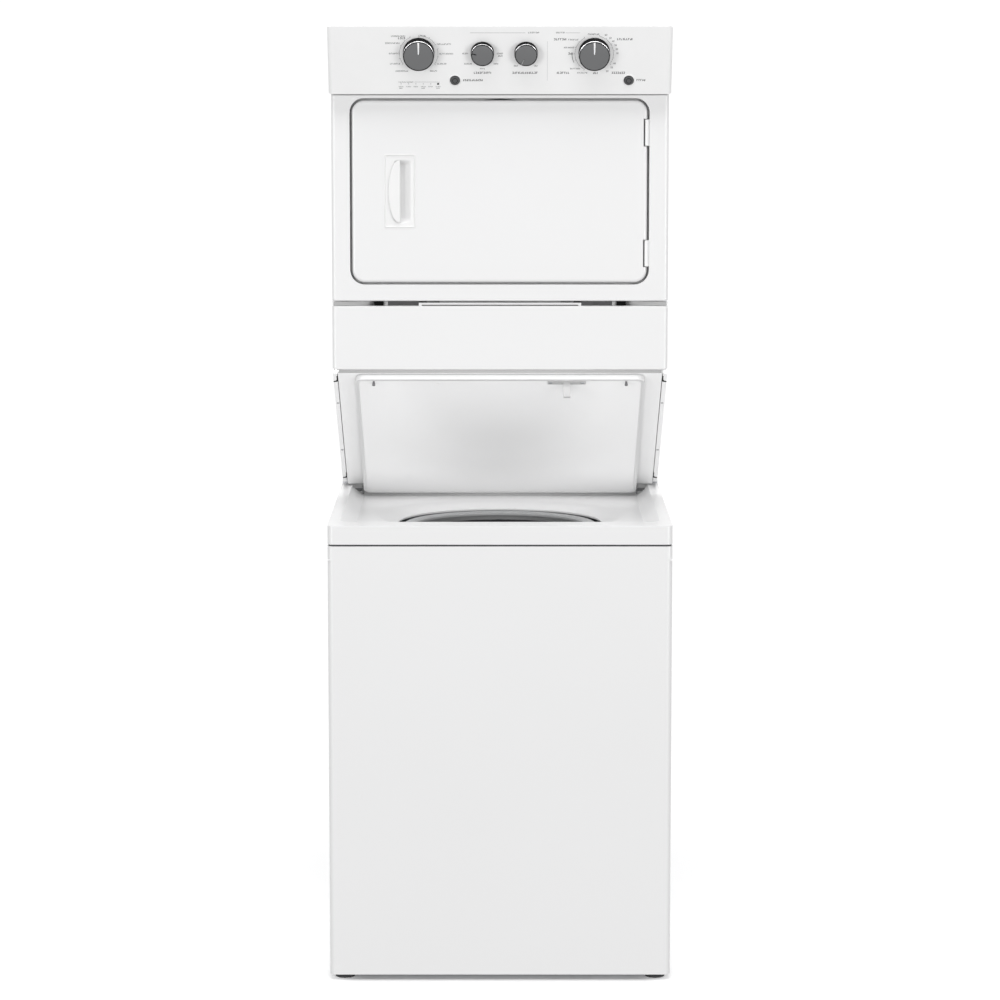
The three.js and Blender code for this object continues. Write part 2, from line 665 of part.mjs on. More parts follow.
function doorPocket(grow, depths) {
  return carried(
    roundedRectangle(
      [DOOR_LEFT - grow, DOOR_RIGHT + grow],
      [DOOR_BOTTOM - grow, DOOR_TOP + grow],
      DOOR_CORNER + grow,
    ),
    depths,
    DOOR_STEPS,
  );
}

// The dryer's front: a wrapped face, the pocket that the door shuts into and the doorway to the drum.
function dryerFront() {
  const face = cut(
    tray(
      [-DRYER_HALF, DRYER_HALF],
      [DRYER_BOTTOM, CONSOLE_BOTTOM - 1],
      5,
      [DRYER_FRONT, DRYER_FRONT + RETURN],
      SHEET,
    ),
    doorPocket(DOOR_GAP, [DRYER_FRONT - 1, DRYER_FRONT + 3]),
  );
  const pocket = cut(
    doorPocket(DOOR_GAP + THICK_SHEET, [DRYER_FRONT + SHEET / 2, POCKET_BACK + THICK_SHEET]),
    doorPocket(DOOR_GAP, [DRYER_FRONT - 1, POCKET_BACK]),
  );
  const centre = [0, 0, DRUM_HEIGHT];
  const collarProfile = ringProfile(DOORWAY_RADIUS, DOORWAY_RADIUS + 6, POCKET_BACK, 250);
  const collar = turned(collarProfile, centre, [0, 1, 0], FINE);
  const doorway = turned(discProfile(DOORWAY_RADIUS, 200, 252), centre, [0, 1, 0], FINE);
  const screenSlot = block([-121, 121], [234.5, 245.5], [1380, 1458]);
  const screenBox = cut(
    block([-124, 124], [POCKET_BACK + 1, 249], [1340, 1440]),
    turned(discProfile(DOORWAY_RADIUS + 3, 200, 252), centre, [0, 1, 0], FINE),
    block([-121, 121], [234.5, 245.5], [1343, 1450]),
  );
  const front = join(face, pocket, collar, screenBox);
  return part('dryer_front', cut(front, doorway, screenSlot), WHITE_PAINT);
}

function dryerTop() {
  const plate = raised(
    roundedRectangle([-DRYER_HALF, DRYER_HALF], [CONSOLE_BACK + GAP, BODY_DEPTH], 6),
    [HEIGHT - SHEET, HEIGHT],
  );
  const lipOut = [-DRYER_HALF + 2.6, DRYER_HALF - 2.6];
  const lipIn = [-DRYER_HALF + 4.4, DRYER_HALF - 4.4];
  const lip = cut(
    raised(roundedRectangle(lipOut, [CONSOLE_BACK + 6, BODY_DEPTH - 6], 4), [HEIGHT - 14, HEIGHT - 1]),
    raised(roundedRectangle(lipIn, [CONSOLE_BACK + 8, BODY_DEPTH - 8], 3), [HEIGHT - 15, HEIGHT]),
  );
  return part('dryer_top', join(plate, lip), WHITE_PAINT);
}

const EXHAUST = { x: 0, z: 1090, radius: 51 };

function dryerRearPanel() {
  const [d0, d1] = [BODY_DEPTH - SHEET, BODY_DEPTH];
  const outlineOfPlate = roundedRectangle([-DRYER_HALF, DRYER_HALF], [WING_BOTTOM, HEIGHT - 2], 4);
  const plate = carried(outlineOfPlate, [d0, d1]);
  const ductHole = discProfile(EXHAUST.radius + 1, d0 - 5, d1 + 5);
  const hole = turned(ductHole, [EXHAUST.x, 0, EXHAUST.z], [0, 1, 0]);
  const cordHole = turned(discProfile(14, d0 - 5, d1 + 5), [250, 0, 1010], [0, 1, 0], COARSE);
  const vents = [0, 1, 2, 3, 4, 5].map((row) => (
    block([-200, -60], [d0 - 5, d1 + 5], [1660 + row * 20, 1668 + row * 20])
  ));
  return part('dryer_rear_panel', cut(plate, hole, cordHole, ...vents), GALVANISED);
}

// ---------- drum, air path and drive ----------

// The drum: a thin shell with an open front, three hollow lifting bars and hot-air holes in its back.
function dryerDrum() {
  const wall = SHEET;
  const mouth = 226;
  const centre = [0, 0, DRUM_HEIGHT];
  const profile = [[0, DRUM_BACK], [DRUM_RADIUS, DRUM_BACK], [DRUM_RADIUS, DRUM_FRONT], [mouth, DRUM_FRONT],
    [mouth, DRUM_FRONT + wall], [DRUM_RADIUS - wall, DRUM_FRONT + wall],
    [DRUM_RADIUS - wall, DRUM_BACK - wall], [0, DRUM_BACK - wall]];
  const bars = [0, 1, 2].map((index) => drumBar(index, 0, [DRUM_FRONT + 30, DRUM_BACK - SHEET / 2]));
  const barRooms = [0, 1, 2].map((index) => drumBar(index, 3, [DRUM_FRONT + 40, DRUM_BACK - 10]));
  const inletHoles = [0, 1, 2, 3, 4, 5].map((index) => {
    const angle = index * Math.PI / 3;
    const place = [130 * Math.cos(angle), DRUM_BACK, DRUM_HEIGHT + 130 * Math.sin(angle)];
    return turned(discProfile(24, -20, 20), place, [0, 1, 0], 12);
  });
  const drum = join(turned(profile, centre, [0, 1, 0]), ...bars);
  return part('dryer_drum', cut(drum, ...barRooms, ...inletHoles), STAINLESS);
}

// One lifting bar along the drum's wall, or with an inset the room inside it, open through the wall.
function drumBar(index, inset, [front, back]) {
  const wide = 26 - inset;
  const narrow = 8 - inset;
  const foot = inset ? DRUM_RADIUS + 2 : DRUM_RADIUS - 4;
  const ridge = DRUM_RADIUS - 62 + inset;
  const shape = outline([[-wide, foot], [wide, foot], [narrow, ridge], [-narrow, ridge]]);
  const bar = extrude(shape, back - front).rotateX(Math.PI / 2).rotateY(index * 2 * Math.PI / 3);
  return solid(bar.translate(0, fromFront(back), DRUM_HEIGHT));
}

const ROLLER_RADIUS = 38;
const ROLLER_REACH = DRUM_RADIUS + ROLLER_RADIUS + GAP;
const ROLLER_ANGLE = Math.PI / 6;
const ROLLER_DEPTHS = [724, 748];
const BELT_DEPTHS = [703, 713];

function rollerPlace(side) {
  const across = ROLLER_REACH * Math.sin(ROLLER_ANGLE);
  const down = ROLLER_REACH * Math.cos(ROLLER_ANGLE);
  return [side * across, 0, DRUM_HEIGHT - down];
}

function drumRollers() {
  return bothSides.map(([name, side]) => part(
    `drum_roller_${name}`,
    turned(ringProfile(6.4, ROLLER_RADIUS, ...ROLLER_DEPTHS), rollerPlace(side), [0, 1, 0], MEDIUM),
    BLACK_RUBBER,
  ));
}

function rearBulkhead() {
  const [d0, d1] = [762, 763.2];
  const plate = carried(roundedRectangle([-300, 300], [1250, 1880], 40), [d0, d1]);
  const axles = bothSides.map(([, side]) => (
    turned(discProfile(6, ROLLER_DEPTHS[0] - 4, d0 + 1), rollerPlace(side), [0, 1, 0], COARSE)
  ));
  const openings = [30, 90, 150, 210, 270, 330].map((degrees) => {
    const angle = THREE.MathUtils.degToRad(degrees);
    const place = [115 * Math.cos(angle), 0, DRUM_HEIGHT + 115 * Math.sin(angle)];
    return turned(discProfile(30, 750, 780), place, [0, 1, 0], COARSE);
  });
  return part('rear_bulkhead', cut(join(plate, ...axles), ...openings), GALVANISED);
}

function heaterBox() {
  const outside = carried(roundedRectangle([-80, 80], [1450, 1860], 20), [766, 794]);
  const inside = carried(roundedRectangle([-77, 77], [1453, 1857], 17), [765, 791]);
  return part('heater_box', cut(outside, inside, block([-60, 60], [760, 800], [1850, 1870])), GALVANISED);
}

// The dryer's motor turns the drum by a belt behind it and the blower wheel in front of it.
const DRYER_MOTOR = { x: 190, z: 1172 };
const WHEEL_RADIUS = 84;

function dryerDrive() {
  const axis = [DRYER_MOTOR.x, 0, DRYER_MOTOR.z];
  const body = [[0, 547], [5, 547], [5, 576], [20, 576], [62, 584], [68, 592], [68, 686], [60, 694],
    [8, 694], [8, 718], [0, 718]];
  const belt = beltLoop(
    { u: 0, v: DRUM_HEIGHT, radius: DRUM_RADIUS + 3.4 },
    { u: DRYER_MOTOR.x, v: DRYER_MOTOR.z, radius: 8 + GAP },
    1.8,
  );
  return [
    part('dryer_motor', turned(body, axis, [0, 1, 0]), ALUMINIUM),
    part('dryer_belt', carried(belt, BELT_DEPTHS, 20), BLACK_RUBBER),
  ];
}

// The blower wheel, a disc with vanes, and its scroll with the exhaust pipe out through the back.
function airPath() {
  const axis = [DRYER_MOTOR.x, 0, DRYER_MOTOR.z];
  const hub = turned(
    [[0, 536], [WHEEL_RADIUS, 536], [WHEEL_RADIUS, 539], [12, 539], [12, 544], [0, 544]],
    axis,
    [0, 1, 0],
    MEDIUM,
  );
  const vanes = Array.from({ length: 12 }, (_, index) => {
    const vane = new THREE.BoxGeometry(24, 34, 2.5);
    vane.rotateY(0.5).translate(WHEEL_RADIUS - 16, 0, 0).rotateY(index * Math.PI / 6);
    return solid(vane.translate(DRYER_MOTOR.x, fromFront(519.5), DRYER_MOTOR.z));
  });
  const centre = [EXHAUST.x, 0, EXHAUST.z];
  const scroll = join(
    turned(discProfile(100, 492, 556), axis, [0, 1, 0], MEDIUM),
    block([EXHAUST.x - 40, DRYER_MOTOR.x], [516, 556], [1076, 1136]),
  );
  const room = join(
    turned(discProfile(97, 495, 553), axis, [0, 1, 0], MEDIUM),
    block([EXHAUST.x - 37, DRYER_MOTOR.x], [519, 553], [1079, 1133]),
  );
  const pipe = turned(discProfile(EXHAUST.radius, 555, DEPTH), centre, [0, 1, 0], MEDIUM);
  const bore = turned(discProfile(EXHAUST.radius - 2, 557, DEPTH + 1), centre, [0, 1, 0], MEDIUM);
  const throat = block([EXHAUST.x - 30, EXHAUST.x + 30], [550, 560], [1082, 1130]);
  const inlet = turned(discProfile(56, 480, 500), axis, [0, 1, 0], MEDIUM);
  const shaft = turned(discProfile(9, 550, 560), axis, [0, 1, 0], COARSE);
  const housing = cut(join(scroll, pipe), room, bore, throat, inlet, shaft);
  const socket = turned(discProfile(5.4, 541, 550), axis, [0, 1, 0], COARSE);
  return [
    part('blower_wheel', cut(join(hub, ...vanes), socket), PALE_PLASTIC),
    part('blower_housing', housing, GALVANISED),
  ];
}

function lintScreen() {
  const frame = cut(
    block([-119, 119], [236, 244], [1345, 1405]),
    block([-113, 113], [235, 241.5], [1351, 1385]),
  );
  const doorway = turned(discProfile(DOORWAY_RADIUS - 1, 230, 250), [0, 0, DRUM_HEIGHT], [0, 1, 0]);
  return part('lint_screen', cut(frame, doorway), PALE_PLASTIC);
}

// ---------- dryer door ----------

function doorPan(inset, depths) {
  const across = [DOOR_LEFT + inset, DOOR_RIGHT - inset];
  const upright = [DOOR_BOTTOM + inset, DOOR_TOP - inset];
  const fold = { side: DOOR_FOLD - inset, end: DOOR_FOLD - inset };
  return folded(across, upright, DOOR_CORNER - inset, depths, fold, DOOR_STEPS);
}

function doorPanel(inset, radius, depths) {
  const across = [DOOR_LEFT + inset, DOOR_RIGHT - inset];
  const upright = [DOOR_BOTTOM + inset, DOOR_TOP - inset];
  return carried(roundedRectangle(across, upright, radius), depths, DOOR_STEPS);
}

function hingeNotches() {
  return Object.values(KNUCKLE_HEIGHTS).map((z) => block(
    [KNUCKLE_X - 6.5, DOOR_RIGHT + 5],
    [DOOR_FACE - 5, DOOR_FACE + 40],
    [z - KNUCKLE_LENGTH / 2 - 1.5, z + KNUCKLE_LENGTH / 2 + 1.5],
  ));
}

function handleOutline(inset, radius) {
  const { x, z, width, height } = HANDLE;
  return roundedRectangle(
    [x - width / 2 + inset, x + width / 2 - inset],
    [z - height / 2 + inset, z + height / 2 - inset],
    radius,
  );
}

function doorParts() {
  const face = DOOR_FACE;
  const outer = cut(
    doorPan(0, [face, face + 16]),
    doorPan(SHEET, [face + SHEET, face + 17]),
    carried(handleOutline(3, 5), [face - 5, face + 10]),
    ...hingeNotches(),
  );
  const pan = cut(
    doorPanel(4, DOOR_CORNER - 4, [face + 17, face + 19]),
    ...hingeNotches(),
  );
  const centre = [0, 0, DRUM_HEIGHT];
  const plug = turned(
    [[0, face + 18], [176, face + 18], [174, 229], [160, 233], [0, 233]],
    centre,
    [0, 1, 0],
  );
  const plugRoom = turned(
    [[0, face + 16], [174, face + 16], [172, 227.4], [159, 231.4], [0, 231.4]],
    centre,
    [0, 1, 0],
  );
  return [
    part('door_outer', outer, WHITE_PAINT),
    part('door_inner', cut(join(pan, plug), plugRoom), WHITE_PAINT),
    doorHandle(),
  ];
}

// The moulded handle: a plate on the door with a finger pocket and an upright grip over its left side.
function doorHandle() {
  const { x, z } = HANDLE;
  const face = DOOR_FACE;
  const plate = carried(handleOutline(0, 4), [face - 1.8, face - GAP]);
  const cup = carried(handleOutline(4, 8), [face - 1, face + 15]);
  const room = carried(roundedRectangle([x - 2, x + 27], [z - 60, z + 60], 10), [face - 5, face + 12.5]);
  const deep = carried(roundedRectangle([x - 20, x + 10], [z - 42, z + 42], 6), [face + 3, face + 12.5]);
  const grip = spread(
    outline([[face - 9, z - 26], [face - 9, z + 26], [face - 1, z + 64], [face - 1, z - 64]]),
    [x - 24, x - 4],
  );
  return part('door_handle', cut(join(plate, cup, grip), room, deep), WHITE_PLASTIC);
}

function doorHinges() {
  return Object.entries(KNUCKLE_HEIGHTS).map(([name, z]) => {
    const [low, high] = [z - KNUCKLE_LENGTH / 2, z + KNUCKLE_LENGTH / 2];
    const barrel = turned(discProfile(4, low, high), [KNUCKLE_X, KNUCKLE_DEPTH, 0], [0, 0, 1], COARSE);
    const leaf = block(
      [KNUCKLE_X - 1, DOOR_RIGHT + DOOR_GAP - GAP],
      [KNUCKLE_DEPTH, POCKET_BACK - GAP],
      [low, high],
    );
    return part(`door_hinge_${name}`, join(barrel, leaf), WHITE_PLASTIC);
  });
}

// ---------- console ----------

const faceRun = new THREE.Vector2(FACE_HIGH.depth - FACE_LOW.depth, FACE_HIGH.z - FACE_LOW.z);
const FACE_TILT = Math.atan2(-faceRun.x, faceRun.y);
const FACE_NORMAL = [0, -Math.cos(FACE_TILT), -Math.sin(FACE_TILT)];

function facePoint(x, z) {
  const share = (z - FACE_LOW.z) / faceRun.y;
  return [x, FACE_LOW.depth + share * faceRun.x, z];
}

// A round piece standing on the console's face: its profile is (radius, distance out from the face).
const onFace = (profile, x, z, sides) => turned(profile, facePoint(x, z), FACE_NORMAL, sides);

function consoleHousing() {
  const brow = facePoint(0, HEIGHT - 0.6)[1];
  const skin = (inset) => outline([
    [FACE_LOW.depth + inset, FACE_LOW.z + inset / 3], [brow + inset, HEIGHT - 0.6 - inset / 3],
    [brow + 0.6 + inset, HEIGHT - inset / 3], [CONSOLE_BACK, HEIGHT - inset / 3],
    [CONSOLE_BACK, CONSOLE_BOTTOM + inset / 3],
  ]);
  const slices = [0, 30, 60, 90].flatMap((degrees) => {
    const turn = THREE.MathUtils.degToRad(degrees);
    const end = HALF - CONSOLE_END * (1 - Math.cos(turn));
    const shape = skin(CONSOLE_END * (1 - Math.sin(turn)));
    return [spread(shape, [end - 0.01, end]), spread(shape, [-end, -end + 0.01])];
  });
  const wall = 3;
  const endWall = CONSOLE_END + 1;
  const room = [
    [FACE_LOW.depth + wall, FACE_LOW.z + wall], [FACE_HIGH.depth + wall + 0.4, FACE_HIGH.z - 1],
    [FACE_HIGH.depth + wall + 3, HEIGHT - wall], [CONSOLE_BACK + 1, HEIGHT - wall],
    [CONSOLE_BACK + 1, FACE_LOW.z + wall],
  ];
  const shaftHoles = Object.values(KNOBS).map(({ x }) => (
    onFace(discProfile(SHAFT_RADIUS + 0.8, -12, 12), x, KNOB_HEIGHT, COARSE)
  ));
  const buttonHoles = Object.values(BUTTONS).map(({ x }) => (
    onFace(discProfile(BUTTON_RADIUS + 0.5, -12, 12), x, BUTTON_HEIGHT, 16)
  ));
  const bottomGap = block(
    [-300, 300],
    [DRYER_FRONT + 20, CONSOLE_BACK + 1],
    [CONSOLE_BOTTOM - 1, CONSOLE_BOTTOM + wall + 1],
  );
  const housing = cut(
    wasm.Manifold.hull(slices),
    spread(outline(room), [-HALF + endWall, HALF - endWall]),
    bottomGap,
    ...shaftHoles,
    ...buttonHoles,
  );
  return part('console', housing, WHITE_PLASTIC);
}

// A knob: a drum that widens a little to its front, and a shaft through the console's face.
function knob(name, { x, radius, length }) {
  const neck = radius - 0.6;
  const profile = [[0, -16], [SHAFT_RADIUS, -16], [SHAFT_RADIUS, 0.6], [neck, 0.6],
    [radius, length - 2], [radius - 2, length], [0, length]];
  return part(name, onFace(profile, x, KNOB_HEIGHT, MEDIUM), GREY_PLASTIC);
}

function button(name, { x }) {
  const profile = [[0, -10], [BUTTON_RADIUS, -10], [BUTTON_RADIUS, 2.4],
    [BUTTON_RADIUS - 1.2, 3.6], [0, 3.6]];
  return part(name, onFace(profile, x, BUTTON_HEIGHT, 16), GREY_PLASTIC);
}

// ---------- the whole stack ----------

const washer = new THREE.Group();
washer.add(
  washerCabinet(),
  washerRearPanel(),
  baseFrame(),
  ...levellingFeet(),
  washerTop(),
  lidLock(),
  washerLid(),
  outerTub(),
  tubRing(),
  washBasket(),
  balanceRing(),
  agitator(),
  gearcase(),
  ...washerDrive(),
  drainPump(),
  ...suspensionRods(),
  inletValve(),
);

const dryer = new THREE.Group();
dryer.add(
  standFrame(),
  ...bothSides.map(([name, side]) => sidePanel(`${name}_side_panel`, side)),
  recessPanel(),
  lowerFrontPanel(),
  dryerFront(),
  dryerTop(),
  dryerRearPanel(),
  dryerDrum(),
  ...drumRollers(),
  rearBulkhead(),
  heaterBox(),
  ...dryerDrive(),
  ...airPath(),
  lintScreen(),
  ...doorParts(),
  ...doorHinges(),
);

const controls = new THREE.Group();
controls.add(
  consoleHousing(),
  ...Object.entries(KNOBS).map(([name, place]) => knob(name, place)),
  ...Object.entries(BUTTONS).map(([name, place]) => button(name, place)),
);

const stack = new THREE.Group();
stack.add(washer, dryer, controls);
export default stack;
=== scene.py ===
"""Looks for the stacked washer and dryer: materials, fine pieces, a white studio whose floor carries a
painted contact shadow, and the camera.

Metres, in the row frame: x to the right, y to the back, z up. The controls face -y.
Lengths are written in millimetres and mm() turns them into metres; the studio and camera are in metres.
"""

import json
import math

import bmesh
import bpy
import numpy as np
from mathutils import Matrix, Vector


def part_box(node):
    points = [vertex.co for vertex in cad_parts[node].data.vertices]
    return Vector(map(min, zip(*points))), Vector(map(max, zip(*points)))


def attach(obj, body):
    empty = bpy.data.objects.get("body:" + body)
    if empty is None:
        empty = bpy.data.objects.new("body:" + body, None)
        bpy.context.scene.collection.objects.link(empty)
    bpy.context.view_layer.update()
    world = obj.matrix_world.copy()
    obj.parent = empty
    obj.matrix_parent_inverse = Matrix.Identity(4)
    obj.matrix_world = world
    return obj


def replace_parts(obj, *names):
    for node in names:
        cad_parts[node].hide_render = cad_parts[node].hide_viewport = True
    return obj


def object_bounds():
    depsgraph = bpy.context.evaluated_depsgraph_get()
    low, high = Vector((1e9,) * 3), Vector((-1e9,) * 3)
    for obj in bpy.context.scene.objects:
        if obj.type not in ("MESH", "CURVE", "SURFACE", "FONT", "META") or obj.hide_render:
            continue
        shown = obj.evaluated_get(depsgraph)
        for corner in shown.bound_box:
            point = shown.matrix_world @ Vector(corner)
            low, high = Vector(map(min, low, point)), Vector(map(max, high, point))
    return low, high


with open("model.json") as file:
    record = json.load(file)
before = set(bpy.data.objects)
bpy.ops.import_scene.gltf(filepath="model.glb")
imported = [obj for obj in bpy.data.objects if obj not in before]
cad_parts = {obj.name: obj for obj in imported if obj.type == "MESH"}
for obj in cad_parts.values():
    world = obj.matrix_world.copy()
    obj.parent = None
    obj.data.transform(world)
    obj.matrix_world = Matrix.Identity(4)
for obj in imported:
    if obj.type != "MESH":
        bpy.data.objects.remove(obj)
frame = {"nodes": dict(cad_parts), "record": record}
cad_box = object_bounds()
NODES = frame["nodes"]
WASHER_FRONT = cad_box[0].y
BODY_OF = {
    node: body
    for body, nodes in frame["record"]["behaviour"]["bodies"].items()
    for node in nodes
}


def mm(value):
    """Millimetres, as metres."""
    return value / 1000.0


# ---------- materials ----------

def principled(name, color, roughness, metallic=0.0, **sockets):
    """A material with one Principled shader; sockets are its other inputs by name."""
    material = bpy.data.materials.new(name)
    material.use_nodes = True
    shader = material.node_tree.nodes["Principled BSDF"]
    shader.inputs["Base Color"].default_value = (*color, 1.0)
    shader.inputs["Roughness"].default_value = roughness
    shader.inputs["Metallic"].default_value = metallic
    for socket, value in sockets.items():
        shader.inputs[socket.replace("_", " ")].default_value = value
    return material


def new_node(material, kind, **settings):
    """A new shader node with its settings."""
    made = material.node_tree.nodes.new(kind)
    for key, value in settings.items():
        setattr(made, key, value)
    return made


def link(material, output, target):
    """Joins one node's output to another's input."""
    material.node_tree.links.new(output, target)


def feed(material, socket, output):
    """Joins an output to an input of the Principled shader."""
    link(material, output, material.node_tree.nodes["Principled BSDF"].inputs[socket])


def object_coordinates(material, scale=(1, 1, 1)):
    """Object-space coordinates in metres, stretched by scale."""
    source = new_node(material, "ShaderNodeTexCoord")
    mapping = new_node(material, "ShaderNodeMapping")
    mapping.inputs["Scale"].default_value = scale
    link(material, source.outputs["Object"], mapping.inputs["Vector"])
    return mapping.outputs["Vector"]


def noise(material, vector, scale, detail=2.0, roughness=0.5):
    """A noise pattern from 0 to 1."""
    made = new_node(material, "ShaderNodeTexNoise")
    made.inputs["Scale"].default_value = scale
    made.inputs["Detail"].default_value = detail
    made.inputs["Roughness"].default_value = roughness
    link(material, vector, made.inputs["Vector"])
    return made.outputs["Fac"]


def map_range(material, value, low, high):
    """A value from 0 to 1, spread from low to high."""
    made = new_node(material, "ShaderNodeMapRange")
    made.inputs["To Min"].default_value = low
    made.inputs["To Max"].default_value = high
    link(material, value, made.inputs["Value"])
    return made.outputs["Result"]


def vary_roughness(material, value, low, high):
    """Roughness that runs from low to high with a pattern."""
    feed(material, "Roughness", map_range(material, value, low, high))


def vary_color(material, value, dark, light):
    """Base colour that runs from dark to light with a pattern."""
    made = new_node(material, "ShaderNodeMix", data_type="RGBA")
    made.inputs["A"].default_value = (*dark, 1.0)
    made.inputs["B"].default_value = (*light, 1.0)
    link(material, value, made.inputs["Factor"])
    feed(material, "Base Color", made.outputs["Result"])


def bump(material, value, strength, distance):
    """Fine relief from a pattern; distance in millimetres."""
    made = new_node(material, "ShaderNodeBump")
    made.inputs["Strength"].default_value = strength
    made.inputs["Distance"].default_value = mm(distance)
    link(material, value, made.inputs["Height"])
    feed(material, "Normal", made.outputs["Normal"])


def scaled(color, factor):
    """A colour made darker or lighter."""
    return tuple(channel * factor for channel in color)


def enamel(name, shade, roughness):
    """Baked white enamel on steel: faint orange peel, and a shade that drifts very slightly."""
    material = principled(name, (shade,) * 3, roughness, Coat_Weight=0.25, Coat_Roughness=0.08)
    vector = object_coordinates(material)
    drift = noise(material, vector, scale=3.0)
    vary_color(material, drift, scaled((shade,) * 3, 0.985), (shade, shade, shade * 1.004))
    smudge = noise(material, vector, scale=9.0, detail=4.0)
    vary_roughness(material, smudge, roughness * 0.9, roughness * 1.15)
    bump(material, noise(material, vector, scale=420.0, detail=1.0), strength=0.035, distance=0.4)
    return material


def moulded(name, color, roughness, grain_scale=900.0, grain=0.08):
    """Moulded plastic: a fine spark-eroded grain and a slight change of shade."""
    material = principled(name, color, roughness)
    vector = object_coordinates(material)
    drift = noise(material, vector, scale=14.0, detail=3.0)
    vary_color(material, drift, scaled(color, 0.94), color)
    vary_roughness(material, drift, roughness * 0.88, roughness * 1.12)
    bump(material, noise(material, vector, grain_scale, detail=2.0), grain, distance=0.25)
    return material


def brushed(name, color, roughness, stretch=(1, 1, 60)):
    """Rolled or brushed metal: fine streaks along the sheet, with a cloudy sheen."""
    material = principled(name, color, roughness, 1.0)
    streaks = noise(material, object_coordinates(material, stretch), scale=40.0, detail=6.0, roughness=0.7)
    cloud = noise(material, object_coordinates(material), scale=22.0, detail=4.0)
    vary_color(material, cloud, scaled(color, 0.78), color)
    vary_roughness(material, streaks, roughness * 0.75, roughness * 1.3)
    bump(material, streaks, strength=0.06, distance=0.2)
    return material


def spangled(name):
    """Zinc-coated sheet: flat crystals of slightly different greys."""
    material = principled(name, (0.55, 0.56, 0.58), 0.42, 0.85)
    vector = object_coordinates(material)
    cells = new_node(material, "ShaderNodeTexVoronoi")
    cells.inputs["Scale"].default_value = 70.0
    link(material, vector, cells.inputs["Vector"])
    grey = new_node(material, "ShaderNodeSeparateColor")
    link(material, cells.outputs["Color"], grey.inputs["Color"])
    value = grey.outputs["Red"]
    vary_color(material, value, (0.42, 0.43, 0.45), (0.62, 0.63, 0.65))
    vary_roughness(material, value, 0.34, 0.5)
    bump(material, noise(material, vector, scale=300.0, detail=2.0), strength=0.05, distance=0.2)
    return material


def rubber(name, color=(0.022, 0.022, 0.023)):
    """Dull rubber or foam with a little dust."""
    material = principled(name, color, 0.8)
    vector = object_coordinates(material)
    dust = noise(material, vector, scale=60.0, detail=5.0)
    vary_color(material, dust, color, scaled(color, 2.2))
    bump(material, noise(material, vector, scale=700.0, detail=3.0), strength=0.2, distance=0.3)
    return material


WHITE = enamel("white_enamel", 0.80, 0.3)
# Set lighter than the enamel: partly the plastic's own white, partly painted light that makes up for the
# shade on the console's downward-tilted face.
PLASTIC = moulded("white_plastic", (0.88, 0.88, 0.88), 0.38, 1100.0, 0.03)
HANDLE_WHITE = moulded("handle_white", (0.83, 0.83, 0.83), 0.36, 1100.0, 0.03)
STRIKE_WHITE = moulded("strike_white", (0.6, 0.6, 0.6), 0.45)
KNOB_GREY = moulded("knob_grey", (0.135, 0.137, 0.14), 0.34, 1500.0, 0.05)
KNOB_SIDE = principled("knob_side", (0.004, 0.004, 0.0045), 0.8, Specular_IOR_Level=0.15)
WHITE_INLAY = principled("white_inlay", (0.86, 0.86, 0.86), 0.4)
CHROME = principled("bright_ring", (0.86, 0.86, 0.87), 0.16, 1.0)
BUTTON_GREY = moulded("button_grey", (0.06, 0.061, 0.063), 0.45, 1400.0, 0.05)
PALE = moulded("pale_plastic", (0.48, 0.485, 0.49), 0.45)
DARK = moulded("dark_plastic", (0.035, 0.036, 0.038), 0.5)
PRINT = principled("print_grey", (0.014, 0.014, 0.015), 0.55)
PALE_PRINT = principled("print_pale", (0.085, 0.085, 0.088), 0.55)
RUBBER = rubber("black_rubber")
BUMPER_GREY = rubber("bumper_grey", (0.12, 0.12, 0.125))
# Near-black that paints the shade in the seam under the washer's deck.
SEAM_SHADE_GREY = rubber("seam_shade_grey", (0.05, 0.05, 0.052))
# Dark grey that paints the shade inside the slot under the dryer's front.
SLOT_SHADE_GREY = rubber("slot_shade_grey", (0.045, 0.045, 0.046))
SLOT_PALE = principled("slot_pale", (0.4, 0.4, 0.4), 0.5)
# Black that paints the shade inside the slot under the dryer's front.
SLOT_SHADE_BLACK = principled("slot_shade_black", (0.003, 0.003, 0.003), 0.9, Specular_IOR_Level=0.1)
# Black that paints the shade of the hooked notch holes in the side flanges.
GAP_SHADE_BLACK = principled("gap_shade_black", (0.01, 0.01, 0.01), 0.9)
# Grey that paints the shade of the gap under the lower front panel.
LIP_SHADE_GREY = principled("lip_shade_grey", (0.3, 0.3, 0.3), 0.6)
ZINC = spangled("zinc_sheet")
STAINLESS = brushed("stainless", (0.56, 0.565, 0.57), 0.3)
ALUMINIUM = brushed("cast_aluminium", (0.5, 0.51, 0.52), 0.5, (1, 1, 1))

SLOT_FINISH = {
    "white_paint": WHITE,
    "white_plastic": PLASTIC,
    "knob_grey": KNOB_GREY,
    "button_grey": BUTTON_GREY,
    "pale_plastic": PALE,
    "dark_plastic": DARK,
    "black_rubber": RUBBER,
    "galvanised": ZINC,
    "stainless": STAINLESS,
    "cast_aluminium": ALUMINIUM,
}
NODE_FINISH = {"lid_strike": STRIKE_WHITE}
SLOT_OF = {part["node"]: part["material_slot"] for part in frame["record"]["subparts"]}


# ---------- the CAD pieces ----------

# Edge widths of the large pressed and moulded pieces; every other piece has SMALL_BEVEL.
BEVELS = {
    "washer_cabinet": 1.2,
    "washer_top": 3.0,
    "lid_outer": 2.4,
    "console": 1.0,
    "dryer_front": 0.8,
    "lower_front_panel": 0.8,
    "door_outer": 0.8,
    "left_side_panel": 0.6,
    "right_side_panel": 0.6,
    "lid_recess_panel": 0.5,
}
SMALL_BEVEL = 0.5
WELD_DISTANCE = 0.01
FLAT_ANGLE = 1.0
CAD_EDGE_ANGLE = 38
PIECE_EDGE_ANGLE = 40
MERGE_DISTANCE = 1e-7


